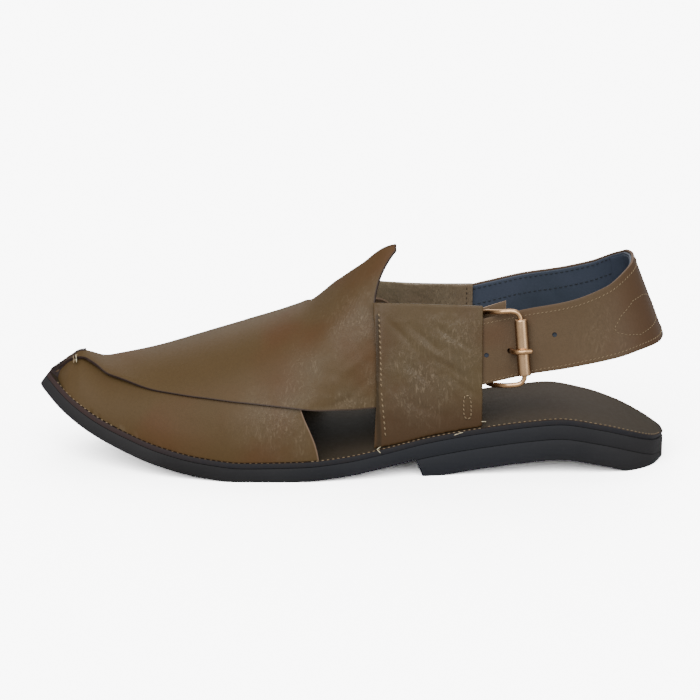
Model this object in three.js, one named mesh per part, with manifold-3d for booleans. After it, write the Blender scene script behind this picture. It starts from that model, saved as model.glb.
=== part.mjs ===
// A peshawari chappal for the left foot, standing on its sole: two broad leather leaves crossed over
// the forefoot, a folded side panel on each side of the waist, and a buckled strap round the heel.
// Millimetres. The toe points to -X, the outer side of the foot faces -Y and the floor is z = 0.
import * as THREE from "three";
import { mergeVertices } from "three/addons/utils/BufferGeometryUtils.js";
import Module from "manifold-3d";

const wasm = await Module();
wasm.setup();

// Sole sizes
const soleLength = 287.6;
const soleCentreX = 3.3;
const ballWidth = 97;
const heelWidth = 66;
const insoleThickness = 2.2;
const outsoleThickness = 6.8;
const liftThickness = 10.1;
const seatArch = 6.8;
const toeSpring = 30.8;
const toeThinning = 0.27;
const treadFlat = 0.3;
const liftLength = 114.1;
const breastLean = 14;

// Upper sizes
const leather = 1.7;
const leafFuse = 0.3;
const clearance = 0.3;
const instepHeight = 94;
const rimMargin = 1;
const noseLength = 6;
const noseSetback = 5;
const notchSetback = 28.7;
const notchCover = 1.2;
const notchLength = 30;
const notchHeight = 34.5;

// Side panel sizes
const panelPlace = 0.5322;
const panelLength = 47.4;
const innerPanelLength = 45.6;
const panelHeight = 63.5;
const innerPanelHeight = 63.3;
const panelDrop = 1;
const panelMargin = 1.2;
const panelOuterWall = 1.4;
const panelInnerWall = 1;
const foldRadius = 1.5;
const leafTuck = 8;

// Heel strap sizes
const strapThickness = 2.4;
const strapWidth = 31;
const strapHeight = 33.8;
const strapRise = 21.8;
const strapSetback = 10.5;
const strapSide = 30.6;
const strapCentreY = -2;
const tailLength = 29;
const innerRaise = 5.5;
const spareHoleRadius = 1.1;
const spareHoles = [
  { behind: 1.7, drop: 1.8 },
  { behind: 32, drop: -1.2 },
];

// Buckle sizes
const wireRadius = 1.1;
const rollerRadius = 3;
const frameHeight = 33.4;
const frameLength = 19;
const frameCorner = 4;
const mouthRelief = 2.2;
const frameDrop = 0.2;
const frameLean = 5.4;
const rollerLength = 25.5;
const rollerStand = 0.5;
const tongueRadius = 1.1;
const tongueReach = 13.6;
const tongueDrop = 1.5;
const tongueSlot = 5.2;

// Sections of the sole from the toe (0) to the heel (1). outer and inner are shares of half the size
// named by width, spring is a share of toeSpring, and rise a share of the heel lift with its arch.
const soleSections = [
  { along: 0, width: ballWidth, outer: 0.01, inner: 0.07, spring: 1, rise: 0 },
  { along: 0.011, width: ballWidth, outer: 0.142, inner: 0.196, spring: 0.92, rise: 0 },
  { along: 0.048, width: ballWidth, outer: 0.38, inner: 0.402, spring: 0.69, rise: 0 },
  { along: 0.088, width: ballWidth, outer: 0.54, inner: 0.588, spring: 0.495, rise: 0 },
  { along: 0.134, width: ballWidth, outer: 0.674, inner: 0.763, spring: 0.329, rise: 0 },
  { along: 0.19, width: ballWidth, outer: 0.812, inner: 0.907, spring: 0.169, rise: 0 },
  { along: 0.257, width: ballWidth, outer: 0.915, inner: 1.01, spring: 0.049, rise: 0 },
  { along: 0.322, width: ballWidth, outer: 0.969, inner: 1.03, spring: 0, rise: 0 },
  { along: 0.414, width: ballWidth, outer: 0.973, inner: 0.938, spring: 0, rise: 0.035 },
  { along: 0.484, width: ballWidth, outer: 0.928, inner: 0.804, spring: 0, rise: 0.14 },
  { along: 0.538, width: ballWidth, outer: 0.874, inner: 0.711, spring: 0, rise: 0.302 },
  { along: 0.616, width: heelWidth, outer: 1.136, inner: 0.94, spring: 0, rise: 0.552 },
  { along: 0.696, width: heelWidth, outer: 1.085, inner: 0.91, spring: 0, rise: 0.767 },
  { along: 0.772, width: heelWidth, outer: 1.076, inner: 0.924, spring: 0, rise: 0.936 },
  { along: 0.82, width: heelWidth, outer: 1.076, inner: 0.94, spring: 0, rise: 1 },
  { along: 0.884, width: heelWidth, outer: 1.03, inner: 0.91, spring: 0, rise: 0.826 },
  { along: 0.934, width: heelWidth, outer: 0.903, inner: 0.803, spring: 0, rise: 0.581 },
  { along: 0.971, width: heelWidth, outer: 0.667, inner: 0.59, spring: 0, rise: 0.343 },
  { along: 0.993, width: heelWidth, outer: 0.303, inner: 0.303, spring: 0, rise: 0.2 },
  { along: 1, width: heelWidth, outer: 0.06, inner: 0.12, spring: 0, rise: 0.157 },
];

// Sections of the last over the deck. height is a share of instepHeight, side the ridge's place as a
// share of half the ball width, tent says how straight its flanks are (0 is an ellipse, 1 a gable), and
// inset says whose foot the rim carries: 0 is the leaves' and 1 the side panel's.
const lastSections = [
  { along: 0.008, height: 0.035, side: 0.04, tent: 0.7, inset: 0 },
  { along: 0.024, height: 0.076, side: 0.03, tent: 0.7, inset: 0 },
  { along: 0.044, height: 0.152, side: 0.02, tent: 0.65, inset: 0 },
  { along: 0.057, height: 0.187, side: 0.02, tent: 0.6, inset: 0 },
  { along: 0.086, height: 0.208, side: 0.02, tent: 0.45, inset: 0 },
  { along: 0.123, height: 0.265, side: 0.03, tent: 0.3, inset: 0 },
  { along: 0.181, height: 0.353, side: 0.06, tent: 0.14, inset: 0 },
  { along: 0.249, height: 0.452, side: 0.08, tent: 0.05, inset: 0 },
  { along: 0.315, height: 0.53, side: 0.08, tent: 0, inset: 0 },
  { along: 0.388, height: 0.6, side: 0.06, tent: 0, inset: 0 },
  { along: 0.429, height: 0.648, side: 0.04, tent: 0, inset: 0.05 },
  { along: 0.474, height: 0.755, side: 0.02, tent: 0, inset: 0.5 },
  { along: 0.516, height: 0.87, side: 0, tent: 0, inset: 0.95 },
  { along: 0.557, height: 0.965, side: 0, tent: 0, inset: 1 },
  { along: 0.6, height: 0.99, side: 0, tent: 0, inset: 1 },
  { along: 0.85, height: 0.93, side: 0, tent: 0, inset: 1 },
];

// The front and rear edges of a leaf, from the rim it starts at (0) to the panel it ends in (1). Each edge
// is given by its place along the sole and by its girth, from the rim where the leaf ends (0) to the rim
// where it starts (1). The leaf on top rises to a tall point over the outer panel, and the one under it to
// a low point over the inner panel.
const leafEdges = [
  { across: 0, front: 0.002, frontGirth: 1.05, rear: 0.442, overGirth: 1.05, underGirth: 1.05 },
  { across: 0.04, front: 0.003, frontGirth: 0.8, rear: 0.434, overGirth: 0.97, underGirth: 0.97 },
  { across: 0.09, front: 0.006, frontGirth: 0.5, rear: 0.414, overGirth: 0.88, underGirth: 0.88 },
  { across: 0.15, front: 0.03, frontGirth: 0.46, rear: 0.401, overGirth: 0.79, underGirth: 0.79 },
  { across: 0.22, front: 0.06, frontGirth: 0.42, rear: 0.399, overGirth: 0.7, underGirth: 0.7 },
  { across: 0.3, front: 0.084, frontGirth: 0.37, rear: 0.407, overGirth: 0.61, underGirth: 0.61 },
  { across: 0.38, front: 0.107, frontGirth: 0.315, rear: 0.423, overGirth: 0.54, underGirth: 0.53 },
  { across: 0.46, front: 0.135, frontGirth: 0.265, rear: 0.437, overGirth: 0.49, underGirth: 0.455 },
  { across: 0.55, front: 0.168, frontGirth: 0.235, rear: 0.455, overGirth: 0.482, underGirth: 0.39 },
  { across: 0.64, front: 0.226, frontGirth: 0.205, rear: 0.475, overGirth: 0.468, underGirth: 0.335 },
  { across: 0.73, front: 0.299, frontGirth: 0.175, rear: 0.495, overGirth: 0.443, underGirth: 0.29 },
  { across: 0.82, front: 0.414, frontGirth: 0.126, rear: 0.518, overGirth: 0.416, underGirth: 0.25 },
  { across: 0.91, front: 0.507, frontGirth: 0.08, rear: 0.542, overGirth: 0.403, underGirth: 0.22 },
  { across: 1, front: 0.558, frontGirth: 0.06, rear: 0.565, overGirth: 0.391, underGirth: 0.185 },
];

// The heel strap from the back of the heel (0) to the mouth of a side panel (1). back is a share of the way
// from the mouth to the back, side a share of strapSide, rise a share of strapRise, width a share of
// strapWidth, and lean is the inward tilt in degrees.
const strapSections = [
  { reach: 0, back: 1, side: 0, rise: 1, width: 1.3, lean: 22 },
  { reach: 0.14, back: 0.975, side: 0.42, rise: 0.972, width: 1.27, lean: 21 },
  { reach: 0.28, back: 0.885, side: 0.75, rise: 0.872, width: 1.18, lean: 18 },
  { reach: 0.42, back: 0.74, side: 0.95, rise: 0.67, width: 1.07, lean: 14 },
  { reach: 0.58, back: 0.53, side: 1.01, rise: 0.459, width: 0.98, lean: 10 },
  { reach: 0.76, back: 0.29, side: 1, rise: 0.275, width: 0.955, lean: 9 },
  { reach: 0.9, back: 0.12, side: 0.975, rise: 0.11, width: 0.95, lean: 9 },
  { reach: 1, back: 0, side: 0.95, rise: 0, width: 0.95, lean: 9 },
];

const totalSole = insoleThickness + outsoleThickness;
const seatRise = liftThickness + seatArch + treadFlat;
const toeX = soleCentreX - soleLength / 2;
const heelX = toeX + soleLength;
const breastX = heelX - liftLength;
const panelStack = panelInnerWall + strapThickness + panelOuterWall + 2 * clearance;
const panelFrontX = toeX + panelPlace * soleLength;
const panelMouthX = panelFrontX + panelLength;
const innerMouthX = panelFrontX + innerPanelLength;
const strapBackX = heelX - strapSetback;
const frameX = panelMouthX - mouthRelief + clearance + wireRadius + frameLength / 2;

const alongOf = (x) => (x - toeX) / soleLength;
const xOf = (along) => toeX + along * soleLength;
// Turns a share of the length into a share of a half circle, so that both ends of an outline come out round.
const roundOf = (along) => Math.acos(1 - 2 * Math.min(1, Math.max(0, along))) / Math.PI;
const mix = (a, b, share) => a + (b - a) * share;
const ease = (low, high, value) => THREE.MathUtils.smoothstep(value, low, high);

// Reads a column of a table at a position as a smooth curve that never overshoots its rows.
function curve(rows, key, value) {
  const xs = rows.map(key);
  const ys = rows.map(value);
  const steps = xs.slice(1).map((x, i) => (ys[i + 1] - ys[i]) / (x - xs[i]));
  const slopes = ys.map((_, i) => {
    if (i === 0) return steps[0];
    if (i === ys.length - 1) return steps[i - 1];
    const [before, after] = [steps[i - 1], steps[i]];
    return before * after <= 0 ? 0 : (2 * before * after) / (before + after);
  });
  return (at) => {
    const x = Math.min(xs.at(-1), Math.max(xs[0], at));
    let i = 0;
    while (i < xs.length - 2 && x > xs[i + 1]) i += 1;
    const gap = xs[i + 1] - xs[i];
    const t = (x - xs[i]) / gap;
    const [h00, h10] = [(1 + 2 * t) * (1 - t) ** 2, t * (1 - t) ** 2];
    const [h01, h11] = [t * t * (3 - 2 * t), t * t * (t - 1)];
    return h00 * ys[i] + h10 * gap * slopes[i] + h01 * ys[i + 1] + h11 * gap * slopes[i + 1];
  };
}

const alongKey = (row) => row.along;
const outerRimAt = curve(soleSections, (row) => roundOf(row.along), (row) => (row.outer * row.width) / 2);
const innerRimAt = curve(soleSections, (row) => roundOf(row.along), (row) => (row.inner * row.width) / 2);
const springAt = curve(soleSections, alongKey, (row) => row.spring * toeSpring);
const riseAt = curve(soleSections, alongKey, (row) => row.rise * seatRise);
const lastHeightAt = curve(lastSections, alongKey, (row) => row.height * instepHeight);
const lastSideAt = curve(lastSections, alongKey, (row) => (row.side * ballWidth) / 2);
const lastTentAt = curve(lastSections, alongKey, (row) => row.tent);
const lastInsetAt = curve(lastSections, alongKey, (row) => row.inset);

const outerRim = (along) => outerRimAt(roundOf(along));
const innerRim = (along) => innerRimAt(roundOf(along));
const deckHeight = (along) => totalSole - treadFlat + springAt(along) + riseAt(along);
const outerPanelTop = deckHeight(panelPlace) + panelHeight;
const innerPanelTop = deckHeight(panelPlace) + innerPanelHeight;
const strapLevel = deckHeight(alongOf(panelMouthX)) + strapHeight;

// A closed solid between two surfaces given over u and v from 0 to 1, with its four sides closed.
function slab(upper, lower, uSteps, vSteps) {
  const positions = [];
  for (const surface of [upper, lower]) {
    for (let i = 0; i <= uSteps; i++) {
      for (let j = 0; j <= vSteps; j++) positions.push(...surface(i / uSteps, j / vSteps).toArray());
    }
  }
  const layer = (uSteps + 1) * (vSteps + 1);
  const at = (i, j, k) => k * layer + i * (vSteps + 1) + j;
  const faces = [];
  const quad = (a, b, c, d) => faces.push(a, b, c, a, c, d);
  for (let i = 0; i < uSteps; i++) {
    for (let j = 0; j < vSteps; j++) {
      quad(at(i, j, 0), at(i + 1, j, 0), at(i + 1, j + 1, 0), at(i, j + 1, 0));
      quad(at(i, j, 1), at(i, j + 1, 1), at(i + 1, j + 1, 1), at(i + 1, j, 1));
    }
    quad(at(i, 0, 0), at(i, 0, 1), at(i + 1, 0, 1), at(i + 1, 0, 0));
    quad(at(i, vSteps, 0), at(i + 1, vSteps, 0), at(i + 1, vSteps, 1), at(i, vSteps, 1));
  }
  for (let j = 0; j < vSteps; j++) {
    quad(at(0, j, 0), at(0, j + 1, 0), at(0, j + 1, 1), at(0, j, 1));
    quad(at(uSteps, j, 0), at(uSteps, j, 1), at(uSteps, j + 1, 1), at(uSteps, j + 1, 0));
  }
  const geometry = new THREE.BufferGeometry();
  geometry.setAttribute("position", new THREE.Float32BufferAttribute(positions, 3));
  geometry.setIndex(faces);
  return facingOut(geometry);
}

// Turns every triangle round where the solid came out inside out.
function facingOut(geometry) {
  const [position, index] = [geometry.attributes.position, geometry.index];
  const corner = [new THREE.Vector3(), new THREE.Vector3(), new THREE.Vector3()];
  let volume = 0;
  for (let i = 0; i < index.count; i += 3) {
    corner.forEach((point, k) => point.fromBufferAttribute(position, index.getX(i + k)));
    volume += corner[0].dot(corner[1].clone().cross(corner[2])) / 6;
  }
  if (volume < 0) {
    for (let i = 0; i < index.count; i += 3) {
      const second = index.getX(i + 1);
      index.setX(i + 1, index.getX(i + 2));
      index.setX(i + 2, second);
    }
  }
  return geometry;
}

function toSolid(geometry) {
  const bare = geometry.clone();
  for (const name of Object.keys(bare.attributes)) {
    if (name !== "position") bare.deleteAttribute(name);
  }
  const merged = mergeVertices(bare, 1e-4);
  return new wasm.Manifold(
    new wasm.Mesh({
      numProp: 3,
      vertProperties: new Float32Array(merged.attributes.position.array),
      triVerts: new Uint32Array(merged.index.array),
    }),
  );
}

function toGeometry(solid) {
  const { vertProperties, triVerts, numProp } = solid.getMesh();
  const positions = [];
  for (let i = 0; i < vertProperties.length; i += numProp) positions.push(...vertProperties.slice(i, i + 3));
  const geometry = new THREE.BufferGeometry();
  geometry.setAttribute("position", new THREE.Float32BufferAttribute(positions, 3));
  geometry.setIndex(Array.from(triVerts));
  return geometry;
}

const boxSolid = (low, high) => {
  const size = high.clone().sub(low);
  const centre = high.clone().add(low).multiplyScalar(0.5);
  return toSolid(new THREE.BoxGeometry(size.x, size.y, size.z).translate(centre.x, centre.y, centre.z));
};

// A point of the sole at a depth under the deck. Where the toe curls up, the depth is square to the deck
// and thinner.
function solePoint(along, across, depth) {
  const step = 0.002;
  const [before, after] = [Math.max(0, along - step), Math.min(1, along + step)];
  const slope = (springAt(after) - springAt(before)) / ((after - before) * soleLength);
  const tilt = Math.atan(slope);
  const under = Math.max(0, depth - insoleThickness);
  const measured = depth - (under * toeThinning * springAt(along)) / toeSpring;
  return new THREE.Vector3(
    xOf(along) + measured * Math.sin(tilt),
    mix(-outerRim(along), innerRim(along), across),
    deckHeight(along) - measured * Math.cos(tilt),
  );
}

// A layer of the sole between two depths, over part of the length. The ends take more rows, where the
// outline turns.
function soleLayer(top, bottom, from, to, rows) {
  const [start, end] = [roundOf(from), roundOf(to)];
  const along = (u) => (1 - Math.cos(Math.PI * mix(start, end, u))) / 2;
  return slab(
    (u, v) => solePoint(along(u), v, top),
    (u, v) => solePoint(along(u), v, bottom),
    rows,
    2,
  );
}

// What stands above the floor, so that the rounded tread gets its flat spots.
function aboveFloor(solid) {
  const reach = soleLength;
  const ground = boxSolid(new THREE.Vector3(-reach, -reach, -reach), new THREE.Vector3(reach, reach, 0));
  return solid.subtract(ground);
}

function makeInsole() {
  return soleLayer(0, insoleThickness, 0, 1, 48);
}

function makeOutsole() {
  return toGeometry(aboveFloor(toSolid(soleLayer(insoleThickness + clearance, totalSole, 0, 1, 48))));
}

// The lift runs under the rear half, and its front face leans back towards the floor.
function makeHeelLift() {
  const start = alongOf(breastX) - 0.03;
  const block = toSolid(soleLayer(totalSole + clearance, totalSole + liftThickness, start, 1, 32));
  const reach = soleLength;
  const front = new THREE.BoxGeometry(reach, reach, reach)
    .translate(-reach / 2, 0, 0)
    .rotateY(THREE.MathUtils.degToRad(-breastLean))
    .translate(breastX, 0, 0);
  return toGeometry(aboveFloor(block.subtract(toSolid(front))));
}

// The last closes in front as a blunt nose, a little behind the tip of the sole. Its sections shrink there
// towards the foot of the ridge.
const noseStart = noseSetback / soleLength;
const wide = () => 1;
const slim = () => 0.05;
function nose(along) {
  const share = Math.min(1, Math.max(0.001, ((along - noseStart) * soleLength) / noseLength));
  return Math.sqrt(1 - (1 - share) ** 2);
}

// The foot line of the last, inside the rim by the leather that stands on it.
const footStack = (along, leaves) => rimMargin + mix(leaves, panelMargin + panelStack, lastInsetAt(along));
const outerBase = (along) => Math.max(0.4, outerRim(along) - footStack(along, leather));
const innerBase = (along) => Math.max(0.4, innerRim(along) - footStack(along, 2 * leather - leafFuse));

// The last's surface. turn runs from the outer rim (0) over the ridge (0.5) to the inner rim (1), and a
// little past both rims it goes on down below the deck. size is the share of a full section at each place.
function lastSkin(along, turn, size = nose) {
  const tent = lastTentAt(along);
  const outwards = turn < 0.5;
  const climb = outwards ? turn * 2 : 2 - turn * 2;
  const angle = (climb * Math.PI) / 2;
  const reach = mix(Math.cos(angle), 1 - climb, tent) * size(along);
  const lift = mix(Math.sin(angle), climb, tent) * size(along);
  const rim = outwards ? -outerBase(along) : innerBase(along);
  const sink = Math.min(0, climb) * 40;
  return new THREE.Vector3(
    xOf(along),
    mix(lastSideAt(along), rim, reach),
    deckHeight(along) + clearance + lastHeightAt(along) * lift + sink,
  );
}

// A point at a distance outside the last's surface.
function lastPoint(along, turn, distance, size = nose) {
  const step = 0.003;
  const short = Math.min(step, Math.abs(along - noseStart) / 2 + step / 10);
  const alongStep = lastSkin(along + short, turn, size).sub(lastSkin(along - short, turn, size));
  const turnStep = lastSkin(along, turn + step, size).sub(lastSkin(along, turn - step, size));
  const normal = alongStep.cross(turnStep).normalize();
  return lastSkin(along, turn, size).addScaledVector(normal, distance);
}

// A point outside the last at a place along the floor and a height, on the outer (-1) or the inner (1) side.
function wallPoint(x, height, distance, side) {
  const along = alongOf(x);
  const share = Math.min(1, (height - deckHeight(along) - clearance) / lastHeightAt(along));
  const climb = Math.asin(share) / (Math.PI / 2);
  return lastPoint(along, side < 0 ? climb / 2 : 1 - climb / 2, distance);
}

// The whole forefoot as one sheet of leather between two distances from the last. sunk lets its underside
// bite deeper into the sheet below where the ridge is sharp.
function forefootSheet(low, high, sunk) {
  const last = leafEdges.at(-1).rear + 0.01;
  const along = (u) => mix(noseStart, last, u ** 1.8);
  const turn = (v) => mix(-0.04, 1.04, v);
  const over = (u, v) => lastPoint(along(u), turn(v), high);
  const under = (u, v) => lastPoint(along(u), turn(v), low - sunk * lastTentAt(along(u)));
  return toSolid(slab(over, under, 28, 20));
}

// One leaf, cut out of its sheet along both edges by a wedge that widens outwards from inside the last. The
// inner leaf ends on the inner side of the foot.
function leafSolid(low, high, mirrored) {
  const across = (row) => row.across;
  const front = curve(leafEdges, across, (row) => row.front);
  const frontGirth = curve(leafEdges, across, (row) => row.frontGirth);
  const rear = curve(leafEdges, across, (row) => row.rear);
  const rearGirth = curve(leafEdges, across, (row) => (mirrored ? row.underGirth : row.overGirth));
  const place = (point) => (u, v) => {
    const girth = mix(frontGirth(u), rearGirth(u), v);
    return point(mix(front(u), rear(u), v), mirrored ? 1 - girth : girth);
  };
  const outside = place((along, turn) => lastPoint(along, turn, high + leather, wide));
  const inside = place((along, turn) => lastSkin(along, turn, slim));
  return forefootSheet(low, high, mirrored ? 0 : leather / 2).intersect(toSolid(slab(outside, inside, 36, 15)));
}

// The two leaves joined where they cross, standing on the deck, with the curved notch behind the outer peak.
// Crumbs that the cuts leave beside the leaves are not kept.
function makeUpper() {
  const under = leafSolid(0, leather, true);
  const over = leafSolid(leather - leafFuse, 2 * leather - leafFuse, false);
  const deck = toSolid(
    slab(
      (u, v) => solePoint(mix(-0.03, 0.7, u), mix(-0.3, 1.3, v), -clearance),
      (u, v) => solePoint(mix(-0.03, 0.7, u), mix(-0.3, 1.3, v), 12),
      60,
      2,
    ),
  );
  const notchX = panelFrontX + notchSetback;
  const notchLevel = outerPanelTop - notchCover;
  const arch = new THREE.Shape().absellipse(notchX, notchLevel, notchLength, notchHeight, 0, Math.PI);
  const through = { depth: ballWidth / 2, bevelEnabled: false, curveSegments: 40 };
  const notch = new THREE.ExtrudeGeometry(arch, through).rotateX(Math.PI / 2);
  const joined = under.add(over).subtract(deck).subtract(toSolid(notch));
  const [leaves] = joined.decompose().sort((a, b) => b.volume() - a.volume());
  return toGeometry(leaves);
}

// A folded side panel. The folded front stands outside the tail of a leaf, and behind it the two walls
// part into a pocket for the strap. At the buckle the inner wall stops short for the frame's front bar.
function makePanel(side) {
  const tuckEnd = panelFrontX + leafTuck;
  const mouth = side < 0 ? panelMouthX : innerMouthX;
  const topAt = (x) => (side < 0 ? outerPanelTop - panelDrop * ease(tuckEnd, mouth, x) : innerPanelTop);
  const place = (outside) => (u, v) => {
    const x = mix(panelFrontX, mouth, u);
    const height = mix(deckHeight(alongOf(x)) + clearance, topAt(x), v);
    const inner = (2 * leather - leafFuse + 2 * clearance) * (1 - ease(tuckEnd, tuckEnd + 5, x));
    const middle = (inner + panelStack) / 2;
    const round = Math.min(1, (x - panelFrontX) / foldRadius);
    const half = ((panelStack - inner) / 2) * Math.max(0.25, Math.sqrt(1 - (1 - round) ** 2));
    return wallPoint(x, height, middle + (outside ? half : -half), side);
  };
  const block = toSolid(slab(place(true), place(false), 20, 8));
  const hollow = (from, to, low, high, near, far) =>
    toSolid(
      slab(
        (u, v) => wallPoint(mix(from, to, u), mix(low, high, v), far, side),
        (u, v) => wallPoint(mix(from, to, u), mix(low, high, v), near, side),
        8,
        8,
      ),
    );
  const near = panelInnerWall;
  const far = panelStack - panelOuterWall;
  const half = strapAt(1).width / 2 + clearance;
  const pocketFrom = mouth - tailLength - clearance;
  const middle = strapAt(side).height;
  const pocket = hollow(pocketFrom, mouth + 2, middle - half, middle + half, near, far);
  if (side > 0) return toGeometry(block.subtract(pocket));
  const relief = frameHeight / 2 + wireRadius + clearance;
  const reliefFrom = panelMouthX - mouthRelief;
  const opening = hollow(reliefFrom, mouth + 2, middle - relief, outerPanelTop + 2, -leather, far);
  return toGeometry(block.subtract(pocket).subtract(opening));
}

// Middle height, width, inward tilt and plan of the strap at a reach, mirrored round the back of the heel.
const mirrored = (row) => ({ ...row, reach: -row.reach, side: -row.side });
const strapRows = [...strapSections.slice(1).reverse().map(mirrored), ...strapSections];
const reachKey = (row) => row.reach;
const strapBack = curve(strapRows, reachKey, (row) => row.back);
const strapSideAt = curve(strapRows, reachKey, (row) => row.side);
const strapRiseAt = curve(strapRows, reachKey, (row) => row.rise * strapRise);
const strapWidthAt = curve(strapRows, reachKey, (row) => row.width);
const strapLeanAt = curve(strapRows, reachKey, (row) => row.lean);

function strapAt(reach) {
  const tail = Math.max(0, Math.abs(reach) - 1);
  const mouth = reach < 0 ? panelMouthX : innerMouthX;
  return {
    x: mix(mouth, strapBackX, strapBack(reach)) - tail * tailLength,
    y: strapCentreY + strapSideAt(reach) * strapSide,
    height: strapLevel + strapRiseAt(reach) + (reach > 0 ? innerRaise * ease(0.2, 1, reach) : 0),
    width: strapWidthAt(reach) * strapWidth,
    lean: THREE.MathUtils.degToRad(strapLeanAt(reach)),
  };
}

// A point of the strap: reach runs round the heel from the outer tail (-2) to the inner tail (2), up from
// the lower edge (0) to the upper (1), and distance is outwards from its middle layer. Near a panel it
// settles on the wall.
function strapPoint(reach, up, distance) {
  const here = strapAt(reach);
  const step = 0.01;
  const [before, after] = [strapAt(reach - step), strapAt(reach + step)];
  const outwards = new THREE.Vector3(after.y - before.y, before.x - after.x, 0).normalize();
  const rise = (up - 0.5) * here.width;
  const free = new THREE.Vector3(here.x, here.y, here.height)
    .addScaledVector(outwards, distance * Math.cos(here.lean) - rise * Math.sin(here.lean))
    .add(new THREE.Vector3(0, 0, distance * Math.sin(here.lean) + rise * Math.cos(here.lean)));
  const settled = ease(0.6, 1, Math.abs(reach));
  if (settled === 0) return free;
  const middle = panelInnerWall + clearance + strapThickness / 2;
  return free.lerp(wallPoint(here.x, here.height + rise, middle + distance, Math.sign(reach)), settled);
}

// The reach at which the strap's outer side passes a place along the floor.
function outerReachAt(x) {
  let [near, far] = [0, 2];
  for (let i = 0; i < 40; i++) {
    const middle = (near + far) / 2;
    if (strapAt(-middle).x > x) near = middle;
    else far = middle;
  }
  return -near;
}

// Axes at a place on the strap's outer side: x back, y up at a small lean, z straight out of the leather.
// drop is how far below the strap's middle they sit.
function outerAxes(x, drop, lean) {
  const reach = outerReachAt(x);
  const back = strapPoint(reach + 0.02, 0.5, 0).sub(strapPoint(reach - 0.02, 0.5, 0)).normalize();
  const across = strapPoint(reach, 0.9, 0).sub(strapPoint(reach, 0.1, 0)).normalize();
  const out = back.clone().cross(across).normalize();
  const up = new THREE.Vector3(-Math.sin(lean), 0, Math.cos(lean)).projectOnPlane(out).normalize();
  const origin = strapPoint(reach, 0.5, 0).addScaledVector(up, -drop);
  return new THREE.Matrix4().makeBasis(up.clone().cross(out), up, out).setPosition(origin);
}

const frameAxes = () => outerAxes(frameX, frameDrop, THREE.MathUtils.degToRad(frameLean));

function makeHeelStrap() {
  const reach = (u) => mix(-2, 2, u);
  let strap = toSolid(
    slab(
      (u, v) => strapPoint(reach(u), v, strapThickness / 2),
      (u, v) => strapPoint(reach(u), v, -strapThickness / 2),
      72,
      4,
    ),
  );
  for (const { behind, drop } of spareHoles) {
    const hole = new THREE.CylinderGeometry(spareHoleRadius, spareHoleRadius, 4 * strapThickness, 12)
      .rotateX(Math.PI / 2)
      .applyMatrix4(outerAxes(panelMouthX + behind, drop, 0));
    strap = strap.subtract(toSolid(hole));
  }
  const slot = new THREE.BoxGeometry(tongueSlot, 2 * (tongueRadius + 2 * clearance), 4 * strapThickness)
    .translate(tongueSlot / 2 + 3 * clearance, -tongueDrop, 0)
    .applyMatrix4(frameAxes());
  return toGeometry(strap.subtract(toSolid(slot)));
}

// The buckle's wire frame: its front bar lies behind the strap, and its rear bar outside it.
const frontBarDepth = -(strapThickness / 2 + 2 * clearance + wireRadius + 0.5);
const rearBarDepth = strapThickness / 2 + clearance + rollerRadius + rollerStand;

function makeBuckleFrame() {
  const [a, b] = [frameLength / 2, frameHeight / 2];
  const corners = [
    [a - frameCorner, b, a, b - frameCorner, a, b],
    [a, -b + frameCorner, a - frameCorner, -b, a, -b],
    [-a + frameCorner, -b, -a, -b + frameCorner, -a, -b],
    [-a, b - frameCorner, -a + frameCorner, b, -a, b],
  ];
  const depth = (x) => mix(frontBarDepth, rearBarDepth, ease(-a, 0.2 * a, x));
  const points = [];
  corners.forEach(([x0, y0, x1, y1, cx, cy], i) => {
    for (let k = 0; k <= 6; k++) {
      const t = k / 6;
      const x = (1 - t) ** 2 * x0 + 2 * t * (1 - t) * cx + t * t * x1;
      const y = (1 - t) ** 2 * y0 + 2 * t * (1 - t) * cy + t * t * y1;
      points.push(new THREE.Vector3(x, y, depth(x)));
    }
    const next = corners[(i + 1) % 4];
    for (let k = 1; k < 4; k++) {
      const x = mix(x1, next[0], k / 4);
      points.push(new THREE.Vector3(x, mix(y1, next[1], k / 4), depth(x)));
    }
  });
  const loop = new THREE.CatmullRomCurve3(points, true);
  return new THREE.TubeGeometry(loop, 44, wireRadius, 8, true).applyMatrix4(frameAxes());
}

function makeRoller() {
  const bore = wireRadius + clearance;
  const half = rollerLength / 2;
  const profile = [
    [bore, -half],
    [rollerRadius - 0.4, -half],
    [rollerRadius, -half + 0.4],
    [rollerRadius, half - 0.4],
    [rollerRadius - 0.4, half],
    [bore, half],
    [bore, -half],
  ].map(([radius, height]) => new THREE.Vector2(radius, height));
  return new THREE.LatheGeometry(profile, 20)
    .translate(frameLength / 2, 0, rearBarDepth)
    .applyMatrix4(frameAxes());
}

// The tongue starts under the strap behind the front bar, comes up through its slot and rests over the roller.
function makeTongue() {
  const bar = frameLength / 2;
  const under = -(strapThickness / 2 + 3 * clearance + tongueRadius);
  const over = rearBarDepth + rollerRadius + clearance + tongueRadius;
  const path = new THREE.CatmullRomCurve3(
    [
      new THREE.Vector3(-bar + wireRadius + tongueRadius + 0.6, 0, under),
      new THREE.Vector3(-1.6, 0, under),
      new THREE.Vector3(2.3, 0, under + 1.2),
      new THREE.Vector3(4.2, 0, 1.6),
      new THREE.Vector3(5.4, 0, over - 2.6),
      new THREE.Vector3(bar - 1.2, 0, over + 0.1),
      new THREE.Vector3(bar + 1.4, 0, over + 0.1),
      new THREE.Vector3(tongueReach, 0, over - 0.8),
    ],
    false,
  );
  const ring = new THREE.Shape().absarc(0, 0, tongueRadius, 0, 2 * Math.PI);
  return new THREE.ExtrudeGeometry(ring, { extrudePath: path, steps: 14, curveSegments: 5 })
    .translate(0, -tongueDrop, 0)
    .applyMatrix4(frameAxes());
}

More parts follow.
